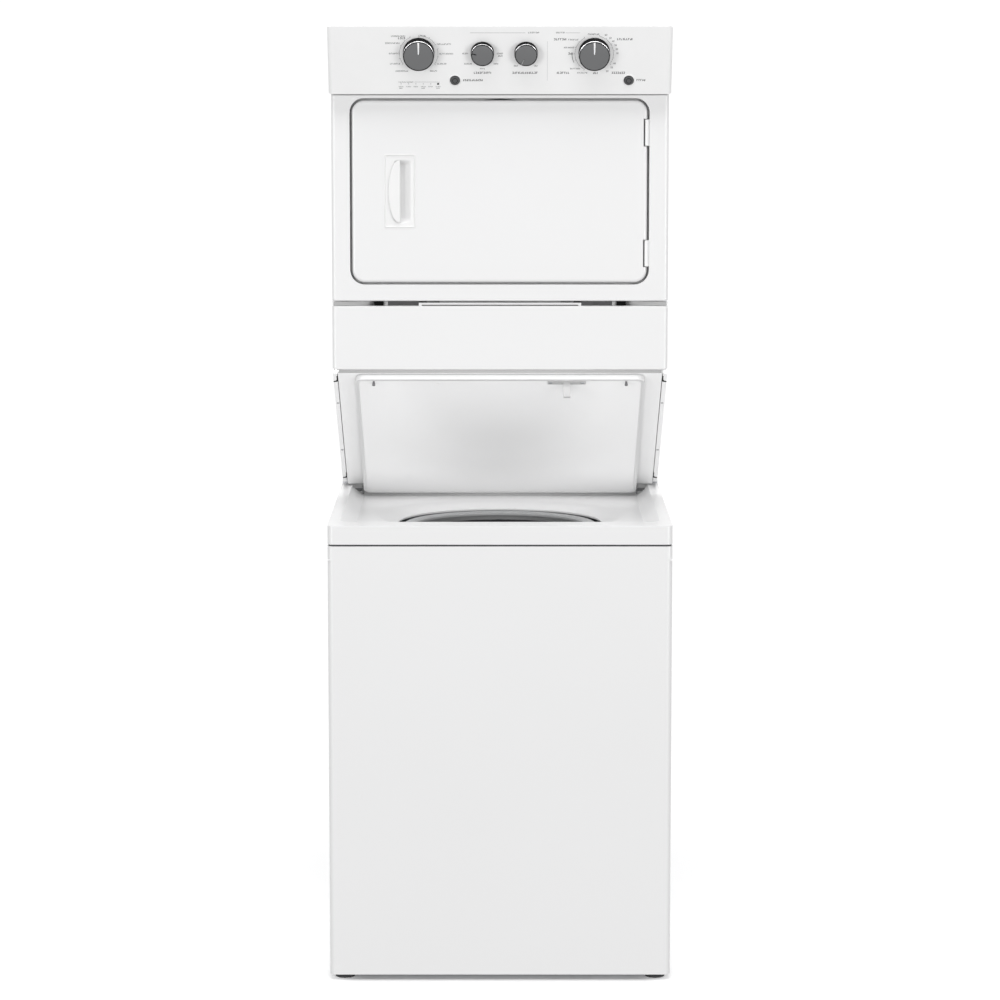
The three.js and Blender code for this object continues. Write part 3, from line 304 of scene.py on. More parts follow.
def bevel_edges(piece, width, segments, angle):
    """Rounds the edges that are sharper than an angle."""
    edge = piece.modifiers.new("edge", "BEVEL")
    edge.width = mm(width)
    edge.segments = segments
    edge.limit_method = "ANGLE"
    edge.angle_limit = math.radians(angle)
    return edge


def weight_normals(piece):
    """Keeps flat faces flat beside rounded edges."""
    normals = piece.modifiers.new("normals", "WEIGHTED_NORMAL")
    normals.keep_sharp = True


def smooth_faces(mesh):
    """Shades every face smooth."""
    for polygon in mesh.polygons:
        polygon.use_smooth = True


def finish_cad_piece(name):
    """Rounds the CAD piece's edges, smooths its round faces and gives it its finish."""
    piece = NODES[name]
    piece.data.materials.clear()
    piece.data.materials.append(NODE_FINISH.get(name, SLOT_FINISH[SLOT_OF[name]]))
    smooth_faces(piece.data)
    weld = piece.modifiers.new("weld", "WELD")
    weld.merge_threshold = mm(WELD_DISTANCE)
    flat = piece.modifiers.new("flat", "DECIMATE")
    flat.decimate_type = "DISSOLVE"
    flat.angle_limit = math.radians(FLAT_ANGLE)
    segments = 3 if name in BEVELS else 2
    edge = bevel_edges(piece, BEVELS.get(name, SMALL_BEVEL), segments, CAD_EDGE_ANGLE)
    edge.use_clamp_overlap = True
    weight_normals(piece)


for node_name in NODES:
    finish_cad_piece(node_name)


# ---------- mesh helpers ----------
# Outlines and profiles are in millimetres; places and finished meshes are in metres.

def point(x, depth, z):
    """A point from millimetres: x, depth behind the washer's front, and height."""
    return Vector((mm(x), WASHER_FRONT + mm(depth), mm(z)))


def place(origin, across=(1, 0, 0), up=(0, 0, 1)):
    """A frame whose x runs across, whose y runs up and whose z stands out from the face."""
    x_axis = Vector(across).normalized()
    y_axis = Vector(up).normalized()
    z_axis = x_axis.cross(y_axis)
    frame_matrix = Matrix((x_axis, y_axis, z_axis)).transposed().to_4x4()
    frame_matrix.translation = origin
    return frame_matrix


def turned(where, degrees):
    """A place turned clockwise about its own z axis."""
    return where @ Matrix.Rotation(math.radians(-degrees), 4, "Z")


def lifted(where, lift):
    """A place moved out along its own z axis."""
    where.translation += where.col[2].xyz * mm(lift)
    return where


def vertex(bm, where, u, v, height):
    """A new vertex at (u, v, height) in a place."""
    return bm.verts.new(where @ Vector((mm(u), mm(v), mm(height))))


def bridge(bm, first, second):
    """Quads between two closed rings of vertices of equal length."""
    count = len(first)
    for i in range(count):
        j = (i + 1) % count
        bm.faces.new((first[i], first[j], second[j], second[i]))


def close_solid(bm, low, high):
    """A solid between two rings of vertices."""
    bm.faces.new(list(reversed(low)))
    bm.faces.new(high)
    bridge(bm, low, high)


def add_outline(bm, points, where, low, high):
    """A flat outline of (u, v) points, from one height to another above its place."""
    rings = [[vertex(bm, where, u, v, height) for u, v in points] for height in (low, high)]
    close_solid(bm, *rings)


def add_lathe(bm, profile, where, sides=64):
    """A profile of (radius, height) points turned about the place's z axis; radius 0 closes it."""
    rings = []
    for radius, height in profile:
        if radius == 0:
            rings.append([vertex(bm, where, 0, 0, height)] * sides)
            continue
        ring = []
        for i in range(sides):
            angle = 2 * math.pi * i / sides
            spot = Vector((mm(radius) * math.cos(angle), mm(radius) * math.sin(angle), mm(height)))
            ring.append(bm.verts.new(where @ spot))
        rings.append(ring)
    for lower, upper in zip(rings, rings[1:]):
        for i in range(sides):
            j = (i + 1) % sides
            corners = list(dict.fromkeys((lower[i], lower[j], upper[j], upper[i])))
            if len(corners) > 2:
                bm.faces.new(corners)


def add_loop(bm, path, radius, sides):
    """A round tube along a closed path of points in metres; radius in millimetres."""
    count = len(path)
    rings = []
    for i, centre in enumerate(path):
        along = (path[(i + 1) % count] - path[i - 1]).normalized()
        side = (side - along * side.dot(along)).normalized() if rings else along.orthogonal().normalized()
        other = along.cross(side)
        ring = []
        for k in range(sides):
            angle = 2 * math.pi * k / sides
            out = side * math.cos(angle) + other * math.sin(angle)
            ring.append(bm.verts.new(centre + mm(radius) * out))
        rings.append(ring)
    for first, second in zip(rings, rings[1:] + rings[:1]):
        bridge(bm, first, second)


def add_frame(bm, where, loops):
    """Quads between closed outlines of equal length, each (points, height)."""
    rings = [[vertex(bm, where, u, v, height) for u, v in points] for points, height in loops]
    for first, second in zip(rings, rings[1:]):
        bridge(bm, first, second)


def add_grid(bm, where, size, counts, height):
    """A sheet over a rectangle, raised to height(u, v)."""
    rows = []
    for j in range(counts[1] + 1):
        v = size[1] * (j / counts[1] - 0.5)
        row = []
        for i in range(counts[0] + 1):
            u = size[0] * (i / counts[0] - 0.5)
            row.append(vertex(bm, where, u, v, height(u, v)))
        rows.append(row)
    for lower, upper in zip(rows, rows[1:]):
        for i in range(counts[0]):
            bm.faces.new((lower[i], lower[i + 1], upper[i + 1], upper[i]))


STRIP_THICK = 0.8


def add_strip(bm, path, low, high):
    """An upright strip along plan points (x, depth)."""
    rings = []
    for x, depth in path:
        back = depth + STRIP_THICK
        corners = ((depth, low), (back, low), (back, high), (depth, high))
        rings.append([bm.verts.new(point(x, y, z)) for y, z in corners])
    for first, second in zip(rings, rings[1:]):
        bridge(bm, first, second)
    bm.faces.new(rings[0])
    bm.faces.new(rings[-1])


CORNERS = ((1, -1), (1, 1), (-1, 1), (-1, -1))


def rounded(width, height, radius, steps=5):
    """A rounded rectangle's outline about its centre."""
    points = []
    for quarter, (sx, sy) in enumerate(CORNERS):
        cx = sx * (width / 2 - radius)
        cy = sy * (height / 2 - radius)
        for step in range(steps + 1):
            angle = math.radians(-90 + 90 * quarter + 90 * step / steps)
            points.append((cx + radius * math.cos(angle), cy + radius * math.sin(angle)))
    return points


def make(name, bm, material, body, bevel=0.0, smooth=True):
    """Turns a bmesh into a named piece that rides on a body."""
    bmesh.ops.remove_doubles(bm, verts=bm.verts, dist=MERGE_DISTANCE)
    bmesh.ops.recalc_face_normals(bm, faces=bm.faces)
    mesh = bpy.data.meshes.new(name)
    bm.to_mesh(mesh)
    bm.free()
    made = bpy.data.objects.new(name, mesh)
    bpy.context.collection.objects.link(made)
    mesh.materials.append(material)
    if smooth:
        smooth_faces(mesh)
    if bevel:
        bevel_edges(made, bevel, 3, PIECE_EDGE_ANGLE)
    if smooth:
        weight_normals(made)
    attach(made, body)
    return made


def make_lathe(name, profile, where, sides, material, body):
    """A piece turned from one profile."""
    bm = bmesh.new()
    add_lathe(bm, profile, where, sides)
    return make(name, bm, material, body)


def screws(name, places, radius, material, body):
    """Low pan-head screws with a recess, as one piece."""
    bm = bmesh.new()
    head = [(0, 0.0), (radius, 0.0), (radius, 0.6), (radius * 0.82, 1.3), (radius * 0.4, 1.7)]
    recess = [(radius * 0.4, 1.0), (0, 0.9)]
    for where in places:
        add_lathe(bm, head + recess, where, 20)
    return make(name, bm, material, body)


# ---------- console ----------

CONSOLE_FOOT = point(0, 170, 1788)
CONSOLE_BROW = point(0, 119, 1921)
UP_SLOPE = (CONSOLE_BROW - CONSOLE_FOOT).normalized()
KNOB_Z = 1871.5
BUTTON_Z = 1816.0
KNOB_SIDES = 96
CAP_DROP = 2.4
CAP_RIM = 1.8
CAP_STEPS = 8
RIDGE_ROOT = -1.0


def on_console(x, z, lift=0.0):
    """A frame on the console's face: x and height z in millimetres."""
    share = (mm(z) - CONSOLE_FOOT.z) / (CONSOLE_BROW.z - CONSOLE_FOOT.z)
    origin = CONSOLE_FOOT.lerp(CONSOLE_BROW, share)
    origin.x = mm(x)
    return lifted(place(origin, (1, 0, 0), UP_SLOPE), lift)


def centre_x(node):
    """A CAD piece's middle in x, in millimetres."""
    node_low, node_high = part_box(node)
    return (node_low.x + node_high.x) / 2 * 1000


def add_ridge(bm, where, outline, height, rises):
    """A ridge on a surface of height(reach), between two rises from it."""
    rings = []
    for rise in rises:
        rings.append([vertex(bm, where, u, v, height(math.hypot(u, v)) + rise) for u, v in outline])
    close_solid(bm, *rings)


def taper(inner, outer, narrow, wide, steps=6):
    """A long narrow outline along +v, narrow at its inner end."""
    rows = []
    for i in range(steps + 1):
        rows.append((inner + (outer - inner) * i / steps, narrow + (wide - narrow) * i / steps))
    right = [(width / 2, v) for v, width in rows]
    left = [(-width / 2, v) for v, width in reversed(rows)]
    return right + left


def knob(node, radius, length, band, pointer):
    """A knob in place of the CAD one: a black drum, a bright band, a black rim that paints the shade at the
    cap's edge, and a domed grey cap.
    """
    where = on_console(centre_x(node), KNOB_Z)
    body = BODY_OF[node]
    seam = length - band
    front = length - CAP_DROP
    edge = radius - CAP_RIM
    lip = radius - 0.1

    def dome(reach):
        """How high the cap stands at a distance from its middle."""
        return length - CAP_DROP * (reach / radius) ** 2

    drum = [(0, 0.6), (radius, 0.6), (radius + 0.6, 1.4), (radius + 0.5, seam), (0, seam)]
    ring = [(0, seam), (radius, seam), (radius, front), (0, front)]
    # The rim ring is black as painted shade at the edge of the cap.
    rim = [(edge - 0.5, front), (lip, front), (lip, front + 0.5), (edge, front + 0.6), (edge - 0.5, front)]
    crown = [(edge * i / CAP_STEPS, dome(edge * i / CAP_STEPS)) for i in range(CAP_STEPS, -1, -1)]
    cap = [(0, front), (edge, front)] + crown
    made = make_lathe(f"{node}_drum", drum, where, KNOB_SIDES, KNOB_SIDE, body)
    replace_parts(made, node)
    make_lathe(f"{node}_band", ring, where, KNOB_SIDES, CHROME, body)
    make_lathe(f"{node}_rim", rim, where, KNOB_SIDES, KNOB_SIDE, body)
    make_lathe(f"{node}_cap", cap, where, KNOB_SIDES, KNOB_GREY, body)

    degrees, reach, width, paint = pointer
    aimed = turned(where, degrees)
    outer = radius - 0.9
    # A near-black sheet laid on the cap round the pointer: painted shadow of a channel sunk round the
    # pointer.
    groove_shadow = bmesh.new()
    groove_shadow_outline = taper(outer - reach, outer, width * 0.7 + 1.0, width + 1.6)
    add_ridge(groove_shadow, aimed, groove_shadow_outline, dome, (RIDGE_ROOT, 0.03))
    make(f"{node}_groove", groove_shadow, KNOB_SIDE, body, smooth=False)
    bar = bmesh.new()
    bar_outline = taper(outer - reach + 0.6, outer, width * 0.6, width)
    add_ridge(bar, aimed, bar_outline, dome, (RIDGE_ROOT, 0.35))
    make(f"{node}_pointer", bar, paint, body, 0.12)


# Each knob's radius, length, width of bright band, and pointer: degrees, length, width and paint.
KNOBS = {
    "cycle_knob": (31.0, 24.6, 9.4, (0, 26.0, 3.9, WHITE_INLAY)),
    "timer_knob": (31.0, 24.6, 9.4, (0, 26.0, 3.9, WHITE_INLAY)),
    "temperature_knob": (22.9, 18.7, 7.0, (-82, 10.0, 1.4, KNOB_SIDE)),
    "softener_knob": (22.9, 18.7, 7.0, (-155, 13.0, 1.2, PALE)),
}


def push_button(node):
    """A round push button with a ring moulded in its face, and the collar round its hole."""
    where = on_console(centre_x(node), BUTTON_Z)
    body = BODY_OF[node]
    crown = [(0, -4), (9.3, -4), (9.3, 2.6), (8.7, 3.3), (0, 3.5)]
    collar = [(10.2, -1.0), (10.2, 0.9), (10.8, 1.3), (12.0, 0.9), (12.4, 0.02), (12.4, -1.0), (10.2, -1.0)]
    circle = [(4.4, 3.3), (4.6, 3.56), (5.5, 3.48), (5.7, 3.2), (4.4, 3.3)]
    made = make_lathe(f"{node}_cap", crown, where, 64, BUTTON_GREY, body)
    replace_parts(made, node)
    make_lathe(f"{node}_collar", collar, where, 64, PLASTIC, "casing")
    make_lathe(f"{node}_ring", circle, where, 48, KNOB_SIDE, body)


for knob_name, knob_sizes in KNOBS.items():
    knob(knob_name, *knob_sizes)
for button_name in ("washer_start_button", "dryer_start_button"):
    push_button(button_name)


# Printing stands between these two heights over the console's face.
PRINT_LIFT = 0.03
PRINT_TOP = 0.09
THIN_LINE = 0.45
ARC_STEP = 4.0
BAR_CORNERS = ((-1, -1), (1, -1), (1, 1), (-1, 1))


def add_bar(bm, where, width, height, offset=(0, 0)):
    """A printed bar about a point of its place."""
    points = [(offset[0] + sx * width / 2, offset[1] + sy * height / 2) for sx, sy in BAR_CORNERS]
    add_outline(bm, points, where, PRINT_LIFT, PRINT_TOP)


def add_arc(bm, where, radius, width, start, end):
    """A printed arc, as short bars; angles in degrees clockwise from the top."""
    count = max(2, int(abs(end - start) / ARC_STEP))
    length = radius * math.radians(abs(end - start)) / count * 1.02
    for i in range(count):
        degrees = start + (end - start) * (i + 0.5) / count
        add_bar(bm, turned(where, degrees), length, width, (0, radius))


def add_word(bm, x, z, width, height, seed):
    """Marks that stand for a printed word: a row of small blocks, each one different."""
    rng = np.random.default_rng(seed)
    where = on_console(x, z)
    stroke = height * 0.24
    gap = height * 0.28
    left = -width / 2
    while left < width / 2 - 0.6:
        letter = min(rng.uniform(0.9, 1.5) * height * 0.5, width / 2 - left)
        kind = rng.integers(0, 4)
        middle = left + letter / 2
        bars = (
            ((0, 1), stroke, height, (left + stroke / 2, 0)),
            ((0, 2), letter, stroke, (middle, height / 2 - stroke / 2)),
            ((1, 2, 3), letter, stroke, (middle, -height / 2 + stroke / 2)),
            ((2, 3), stroke, height, (left + letter - stroke / 2, 0)),
            ((3,), letter, stroke, (middle, 0)),
        )
        for kinds, across, up, offset in bars:
            if kind in kinds:
                add_bar(bm, where, across, up, offset)
        left += letter + gap


DIAL_Z = 1869.0
DIAL_RADIUS = 38.6
NUMERAL_REACH = 46.0
NUMERAL_SIZE = 5.2
CYCLE_X = centre_x("cycle_knob")
TIMER_X = centre_x("timer_knob")
# Printed words: where each starts and ends across the console, and its height.
THIN_WORDS = [
    (-230, -201, 1890), (-223, -202, 1869.4), (-221, -200, 1849), (-210, -185, 1834.5),
    (-218, -190, 1904), (-126, -98.6, 1888), (-121.6, -93, 1869), (-126, -108, 1849),
    (-141, -127, 1834.5), (-163, -149, 1904.3), (176, 198, 1907.8), (137, 157, 1897),
    (128, 149, 1881.4), (140.5, 161, 1839.3), (155.5, 175, 1831), (-75.5, -64, 1869.4),
    (-72, -57, 1849), (-40, -31, 1839), (-13, -3, 1849), (-6, 6, 1869.5), (-4, 5, 1864.6),
    (27.6, 35.7, 1845), (69, 75, 1845), (56.5, 78.3, 1911), (112, 129, 1911),
]
BOLD_WORDS = [
    (108, 132.5, 1897.7), (234.5, 265, 1898), (114, 140.5, 1831), (224.6, 251, 1831),
    (275, 292.5, 1816.4), (25, 77, 1831), (-52.5, -18, 1831), (-74.4, -34, 1816.2),
    (137, 146, 1869.4), (187, 196, 1830.6), (-204, -190, 1900),
]
# Each set of words: its piece, words, letter height, paint and first seed.
WORD_SETS = [
    ("console_words", THIN_WORDS, 2.9, PALE_PRINT, 29),
    ("console_titles", BOLD_WORDS, 4.2, PRINT, 42),
]
RULES = [(-60, 51, 1910.5), (131, 160, 1910.5), (-172, -121, 1812.4)]
# Each dial's middle and its arcs, in degrees clockwise from the top.
DIALS = [
    (CYCLE_X, ((-125, -25), (5, 60), (75, 125))),
    (TIMER_X, ((-150, -30), (15, 125))),
]
TICK_SPACING = 20
# The timer's minutes and where each stands, in degrees clockwise from the top.
NUMERALS = [
    ("60", 30), ("50", 44), ("40", 55), ("30", 67), ("20", 78),
    ("10", 89), ("40", 117), ("30", 130), ("20", 145),
]


def console_words():
    """The words on the console, as rows of marks."""
    for name, words, height, paint, first_seed in WORD_SETS:
        bm = bmesh.new()
        for seed, (start, end, z) in enumerate(words, first_seed):
            add_word(bm, (start + end) / 2, z, end - start, height, seed)
        make(name, bm, paint, "casing", smooth=False)


def add_ticks(bm, where, start, end):
    """Short ticks outside a dial's arc."""
    ticks = int(abs(end - start) / TICK_SPACING) + 1
    for i in range(ticks):
        degrees = start + (end - start) * i / max(ticks - 1, 1)
        add_bar(bm, turned(where, degrees), 0.5, 2.4, (0, DIAL_RADIUS + 1.5))


def console_lines():
    """Thin rules, the two dials' arcs with their ticks, and the divider."""
    bm = bmesh.new()
    for start, end, z in RULES:
        add_bar(bm, on_console((start + end) / 2, z), end - start, THIN_LINE)
    for middle, arcs in DIALS:
        where = on_console(middle, DIAL_Z)
        for start, end in arcs:
            add_arc(bm, where, DIAL_RADIUS, THIN_LINE, start, end)
            add_ticks(bm, where, start, end)
    add_arc(bm, on_console(TIMER_X, DIAL_Z), DIAL_RADIUS + 6, 1.0, -115, -90)
    make("console_lines", bm, PALE_PRINT, "casing", smooth=False)
    divider = bmesh.new()
    add_bar(divider, on_console(95.3, 1854.5), 0.5, 84)
    make("console_divider", divider, PALE, "casing", smooth=False)


def text_mesh(name, text):
    """A printed numeral's mesh, flat and centred."""
    curve = bpy.data.curves.new(name, "FONT")
    curve.body = text
    curve.size = mm(NUMERAL_SIZE)
    curve.align_x = "CENTER"
    curve.align_y = "CENTER"
    curve.extrude = mm(PRINT_LIFT)
    source = bpy.data.objects.new(f"{name}_source", curve)
    bpy.context.collection.objects.link(source)
    mesh = bpy.data.meshes.new_from_object(source)
    bpy.data.objects.remove(source)
    return mesh


def console_numerals():
    """Minutes on the timer's dial."""
    where = on_console(TIMER_X, DIAL_Z, 2 * PRINT_LIFT)
    for index, (text, degrees) in enumerate(NUMERALS):
        name = f"minutes_{index}"
        mesh = text_mesh(name, text)
        angle = math.radians(degrees)
        offset = (mm(NUMERAL_REACH) * math.sin(angle), mm(NUMERAL_REACH) * math.cos(angle), 0)
        mesh.transform(where @ Matrix.Translation(offset))
        mesh.materials.clear()
        mesh.materials.append(PRINT)
        numeral = bpy.data.objects.new(name, mesh)
        bpy.context.collection.objects.link(numeral)
        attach(numeral, "casing")


STATUS_Z = 1808.7
STATUS_START = -199.2
STATUS_STEP = 14.9
STATUS_COUNT = 6
TWO_LINE_STATUS = (0, 3, 5)
LAMP_PROFILE = [(0, 0.3), (0.9, 0.25), (1.2, 0.0), (1.2, -0.5)]


def status_lights():
    """The washer's row of status lights, the last one dark, each with printed marks below."""
    lamps = bmesh.new()
    marks = bmesh.new()
    last = STATUS_COUNT - 1
    for index in range(STATUS_COUNT):
        x = STATUS_START + index * STATUS_STEP
        add_word(marks, x, STATUS_Z - 5.6, 9.5, 1.9, 400 + index)
        if index < last:
            add_lathe(lamps, LAMP_PROFILE, on_console(x, STATUS_Z), 20)
        if index in TWO_LINE_STATUS:
            add_word(marks, x, STATUS_Z - 8.6, 7.5, 1.9, 410 + index)
    add_word(marks, -189, STATUS_Z + 3.6, 30, 2.0, 420)
    make("status_lights", lamps, PALE, "casing")
    make("status_words", marks, PALE_PRINT, "casing", smooth=False)
    dark = bmesh.new()
    where = on_console(STATUS_START + last * STATUS_STEP, STATUS_Z)
    add_outline(dark, rounded(4.2, 4.2, 0.8), where, -0.3, 0.25)
    make("status_lamp_on", dark, DARK, "casing", smooth=False)


console_words()
console_lines()
console_numerals()
status_lights()


# ---------- dryer front ----------

DOOR_FACE = 201.0
DOOR_MIDDLE_Z = 1592.0
HANDLE_X = -203.4
PLATE_SIZE = (64.0, 149.0)
POCKET_DEPTH = 11.0
SEAL_DEPTH = 222
SEAL_RADIUS = 181
HINGE_X = 299.6
HINGE_FACE = 203.6
SLOT_LOW = 1358.3
SLOT_HIGH = 1366.6


def smooth_step(value):
    """Eases from 0 to 1."""
    value = min(max(value, 0.0), 1.0)
    return value * value * (3 - 2 * value)


def pocket_floor(u, v):
    """Height of the handle's floor: a finger pocket that slopes in from the right, under the grip."""
    across = smooth_step((26 - u) / 20) if u > -2 else smooth_step((u + 14) / 12)
    along = smooth_step((64 - abs(v + 1)) / 9)
    return -0.6 - POCKET_DEPTH * across * along


def door_handle():
    """The moulded handle: a rimmed plate, a finger pocket and a swelling grip on its left."""
    where = place(point(HANDLE_X, DOOR_FACE, DOOR_MIDDLE_Z))
    width, height = PLATE_SIZE
    plate = bmesh.new()
    add_frame(plate, where, [
        (rounded(width, height, 3.5), -0.5),
        (rounded(width, height, 3.5), 0.8),
        (rounded(width - 1.6, height - 1.6, 3), 1.5),
        (rounded(width - 5, height - 5, 2.4), 1.5),
        (rounded(width - 7.4, height - 7.4, 1.6), -0.6),
    ])
    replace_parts(make("door_handle_plate", plate, HANDLE_WHITE, "door"), "door_handle")
    sheet = bmesh.new()
    add_grid(sheet, where, (width - 7, height - 7), (44, 72), pocket_floor)
    make("door_handle_pocket", sheet, HANDLE_WHITE, "door")
    grip = bmesh.new()
    arc = [math.pi * i / 20 for i in range(21)]
    bow = [(0.6 - 24 * math.sin(turn) ** 0.8, -1 - 63 * math.cos(turn)) for turn in arc]
    add_outline(grip, list(reversed(bow)), where, -0.9, 4.2)
    make("door_handle_grip", grip, HANDLE_WHITE, "door", 1.8)


def door_seal():
    """The felt and rubber seal round the door's plug, seen with the door open."""
    bm = bmesh.new()
    middle = point(0, SEAL_DEPTH, DOOR_MIDDLE_Z)
    path = []
    for i in range(96):
        angle = 2 * math.pi * i / 96
        across, up = mm(SEAL_RADIUS) * math.cos(angle), mm(SEAL_RADIUS) * math.sin(angle)
        path.append(middle + Vector((across, 0, up)))
    add_loop(bm, path, 3.2, 10)
    make("door_seal", bm, PALE, "door")


def hinge_screws():
    """Two screws in each of the dryer door's hinges."""
    heights = [z + dz for z in (1710, 1465) for dz in (-16, 16)]
    places = [place(point(HINGE_X, HINGE_FACE, z)) for z in heights]
    screws("hinge_screws", places, 1.6, ZINC, "casing")


def slot_liner():
    """The slot under the dryer's front: pale folded edges at its ends, and black pads and dark grey strips
    that paint the shade inside the slot.
    """
    pale = bmesh.new()
    # The dark grey and black strips are painted shade inside the slot.
    grey = bmesh.new()
    black = bmesh.new()
    fold = [(340, 205.6), (322, 206.4), (300, 208.5), (280, 213), (264, 220), (257, 226)]
    for side in (-1, 1):
        add_strip(pale, [(side * x, depth) for x, depth in fold], SLOT_LOW, SLOT_HIGH)
        add_strip(pale, [(side * 238, 212), (side * 229, 208)], SLOT_LOW, SLOT_HIGH)
        add_strip(grey, [(side * 229, 209), (side * 200, 212), (side * 166.5, 210)], SLOT_LOW, SLOT_HIGH)
        add_strip(black, [(side * 257, 207), (side * 238, 207)], SLOT_LOW + 0.3, SLOT_HIGH - 0.3)
    add_strip(grey, [(-160, 208), (160, 208)], 1357.4, 1359.6)
    make("slot_edges", pale, SLOT_PALE, "casing")
    make("slot_shade_strips", grey, SLOT_SHADE_GREY, "casing")
    make("slot_shade_pads", black, SLOT_SHADE_BLACK, "casing")


def deck_seam_shade():
    """A dark strip in the seam between the cabinet and the deck: painted shade of the seam's gap."""
    bm = bmesh.new()
    where = place(point(0, 350, 890.7), (1, 0, 0), (0, 1, 0))
    outer = rounded(686.5, 694.5, 10)
    inner = rounded(682, 690, 8)
    add_frame(bm, where, [(inner, 0), (outer, 0), (outer, 3.1), (inner, 3.1), (inner, 0)])
    make("deck_seam_shade", bm, SEAM_SHADE_GREY, "casing")


door_handle()
door_seal()
hinge_screws()
slot_liner()
deck_seam_shade()


# ---------- washer lid and alcove ----------

LID_PIVOT = point(0, 654, 923)
LID_ANGLE = math.radians(33)
LID_TURN = (
    Matrix.Translation(LID_PIVOT)
    @ Matrix.Rotation(-LID_ANGLE, 4, "X")
    @ Matrix.Translation(-LID_PIVOT)
)
LID_PANEL_Z = 918.3
WING_LOW = point(0, 655, 940)
WING_HIGH = point(0, 204, 1226)
UP_WING = (WING_HIGH - WING_LOW).normalized()
STAND_LIP_DEPTH = 210
BUMPER_PROFILE = [(0, -0.5), (2.2, -0.5), (2.0, 1.0), (3.4, 8.2), (2.8, 9.0), (0, 9.0)]
PLUG_PROFILE = [(0, 1.0), (2.4, 0.8), (3.2, 0.0), (3.2, -0.6)]
BEAD_PROFILE = [(188, -0.1), (200, 0.12), (212, 0.12), (224, -0.1)]
CLIP_OUTLINE = [(-7, -3), (5, -5), (8, 0), (4, 6), (-7, 4)]
HOOK_OUTLINE = [(-2, 14), (3.5, 14), (3.5, -4), (-1, -12), (-9, -14), (-9, -9), (-4, -7), (-2, -2)]


def under_lid(x, depth, drop=0.0):
    """A frame on the lid's underside, placed as if the lid were shut, then raised with it."""
    closed = place(point(x, depth, LID_PANEL_Z - drop), (-1, 0, 0), (0, 1, 0))
    return LID_TURN @ closed


def on_wing(x, share, lift=0.0):
    """A frame on the slanted faces: share 0 at their foot, 1 at their head; z stands out of them."""
    origin = WING_LOW.lerp(WING_HIGH, share)
    origin.x = mm(x)
    return lifted(place(origin, (1, 0, 0), UP_WING), lift)


def lid_bumpers():
    """Two small rubber buffers that stand out of the lid's liner."""
    bm = bmesh.new()
    for side in (-1, 1):
        add_lathe(bm, BUMPER_PROFILE, under_lid(side * 259, 136), 24)
    make("lid_bumpers", bm, BUMPER_GREY, "lid")


def lid_fasteners():
    """The two screws of the lid's strike, and a plug in the liner."""
    places = [under_lid(x, 138, 1.6) for x in (104, 169)]
    screws("strike_screws", places, 4.2, ZINC, "lid")
    make_lathe("lid_plug", PLUG_PROFILE, under_lid(-128, 146, -0.6), 24, PLASTIC, "lid")


def lid_emboss():
    """The shallow round bead pressed in the lid's liner."""
    make_lathe("lid_bead", BEAD_PROFILE, under_lid(0, 372), 160, WHITE, "lid")


def alcove_fasteners():
    """Screws, clips, and black hook shapes on the slanted flanges of the side panels, painted shade of
    hooked notch holes.
    """
    places = [on_wing(side * 338, share, -0.3) for side in (-1, 1) for share in (0.3, 0.72)]
    screws("wing_screws", places, 3.0, PALE, "casing")
    clips = bmesh.new()
    for side in (-1, 1):
        add_outline(clips, CLIP_OUTLINE, on_wing(side * 325, 0.87, -1.8), -0.5, 2.4)
    make("panel_clips", clips, BUMPER_GREY, "casing", 0.6)
    # Black hook shapes laid on the flanges: painted shade of hooked notch holes.
    notch_shades = bmesh.new()
    for side in (-1, 1):
        hook = [(-side * u, v) for u, v in HOOK_OUTLINE]
        hook = hook if side < 0 else hook[::-1]
        for x, share in ((334, 0.925), (333, 0.06)):
            add_outline(notch_shades, hook, on_wing(side * x, share), -2.3, 0.15)
    make("panel_notch_shades", notch_shades, GAP_SHADE_BLACK, "casing", smooth=False)


def stand_lip():
    """The turned-down lip behind the gap over the lid's free edge, grey as painted shade of that gap."""
    bm = bmesh.new()
    add_strip(bm, [(-331, STAND_LIP_DEPTH), (331, STAND_LIP_DEPTH)], 1219.5, 1230.0)
    make("stand_lip", bm, LIP_SHADE_GREY, "casing")


lid_bumpers()
lid_fasteners()
lid_emboss()
alcove_fasteners()
stand_lip()


# ---------- back ----------

DRYER_BACK = 805
WASHER_BACK = 700


def back_place(x, z, depth):
    """A frame on a face that looks to the back."""
    return place(point(x, depth, z), (-1, 0, 0), (0, 0, 1))


def back_screws():
    """Rows of screws round the washer's and the dryer's rear panels."""
    places = []
    for side in (-1, 1):
        for z in range(970, 1911, 134):
            places.append(back_place(side * 330, z, DRYER_BACK))
        for z in range(80, 871, 158):
            places.append(back_place(side * 326, z, WASHER_BACK))
    for x in range(-220, 221, 110):
        places.append(back_place(x, 1912, DRYER_BACK))
        places.append(back_place(x, 952, DRYER_BACK))
    screws("back_screws", places, 4.4, ZINC, "casing")


def terminal_cover():
    """The plate over the dryer's mains terminals."""
    bm = bmesh.new()
    add_outline(bm, rounded(92, 74, 6), back_place(-232, 1000, DRYER_BACK), 0.1, 7.0)
    make("terminal_cover", bm, ZINC, "casing", 1.6)


back_screws()
terminal_cover()


# ---------- studio, in metres ----------

FLOOR_SIZE = 3.4
FLOOR_GLOW = 0.36
# Painted contact shadow: the floor's glow falls off towards the base, over this span of distance from its
# edge.
FLOOR_DIM_FROM = -0.015
FLOOR_DIM_TO = 0.055
FLOOR_LEAST_GLOW = 0.03
FLOOR_DIM_HALF = (0.29, 0.4145)
WORLD_SEEN = 1.05
WORLD_GLOW = 0.5
FILL_SPREAD = 48
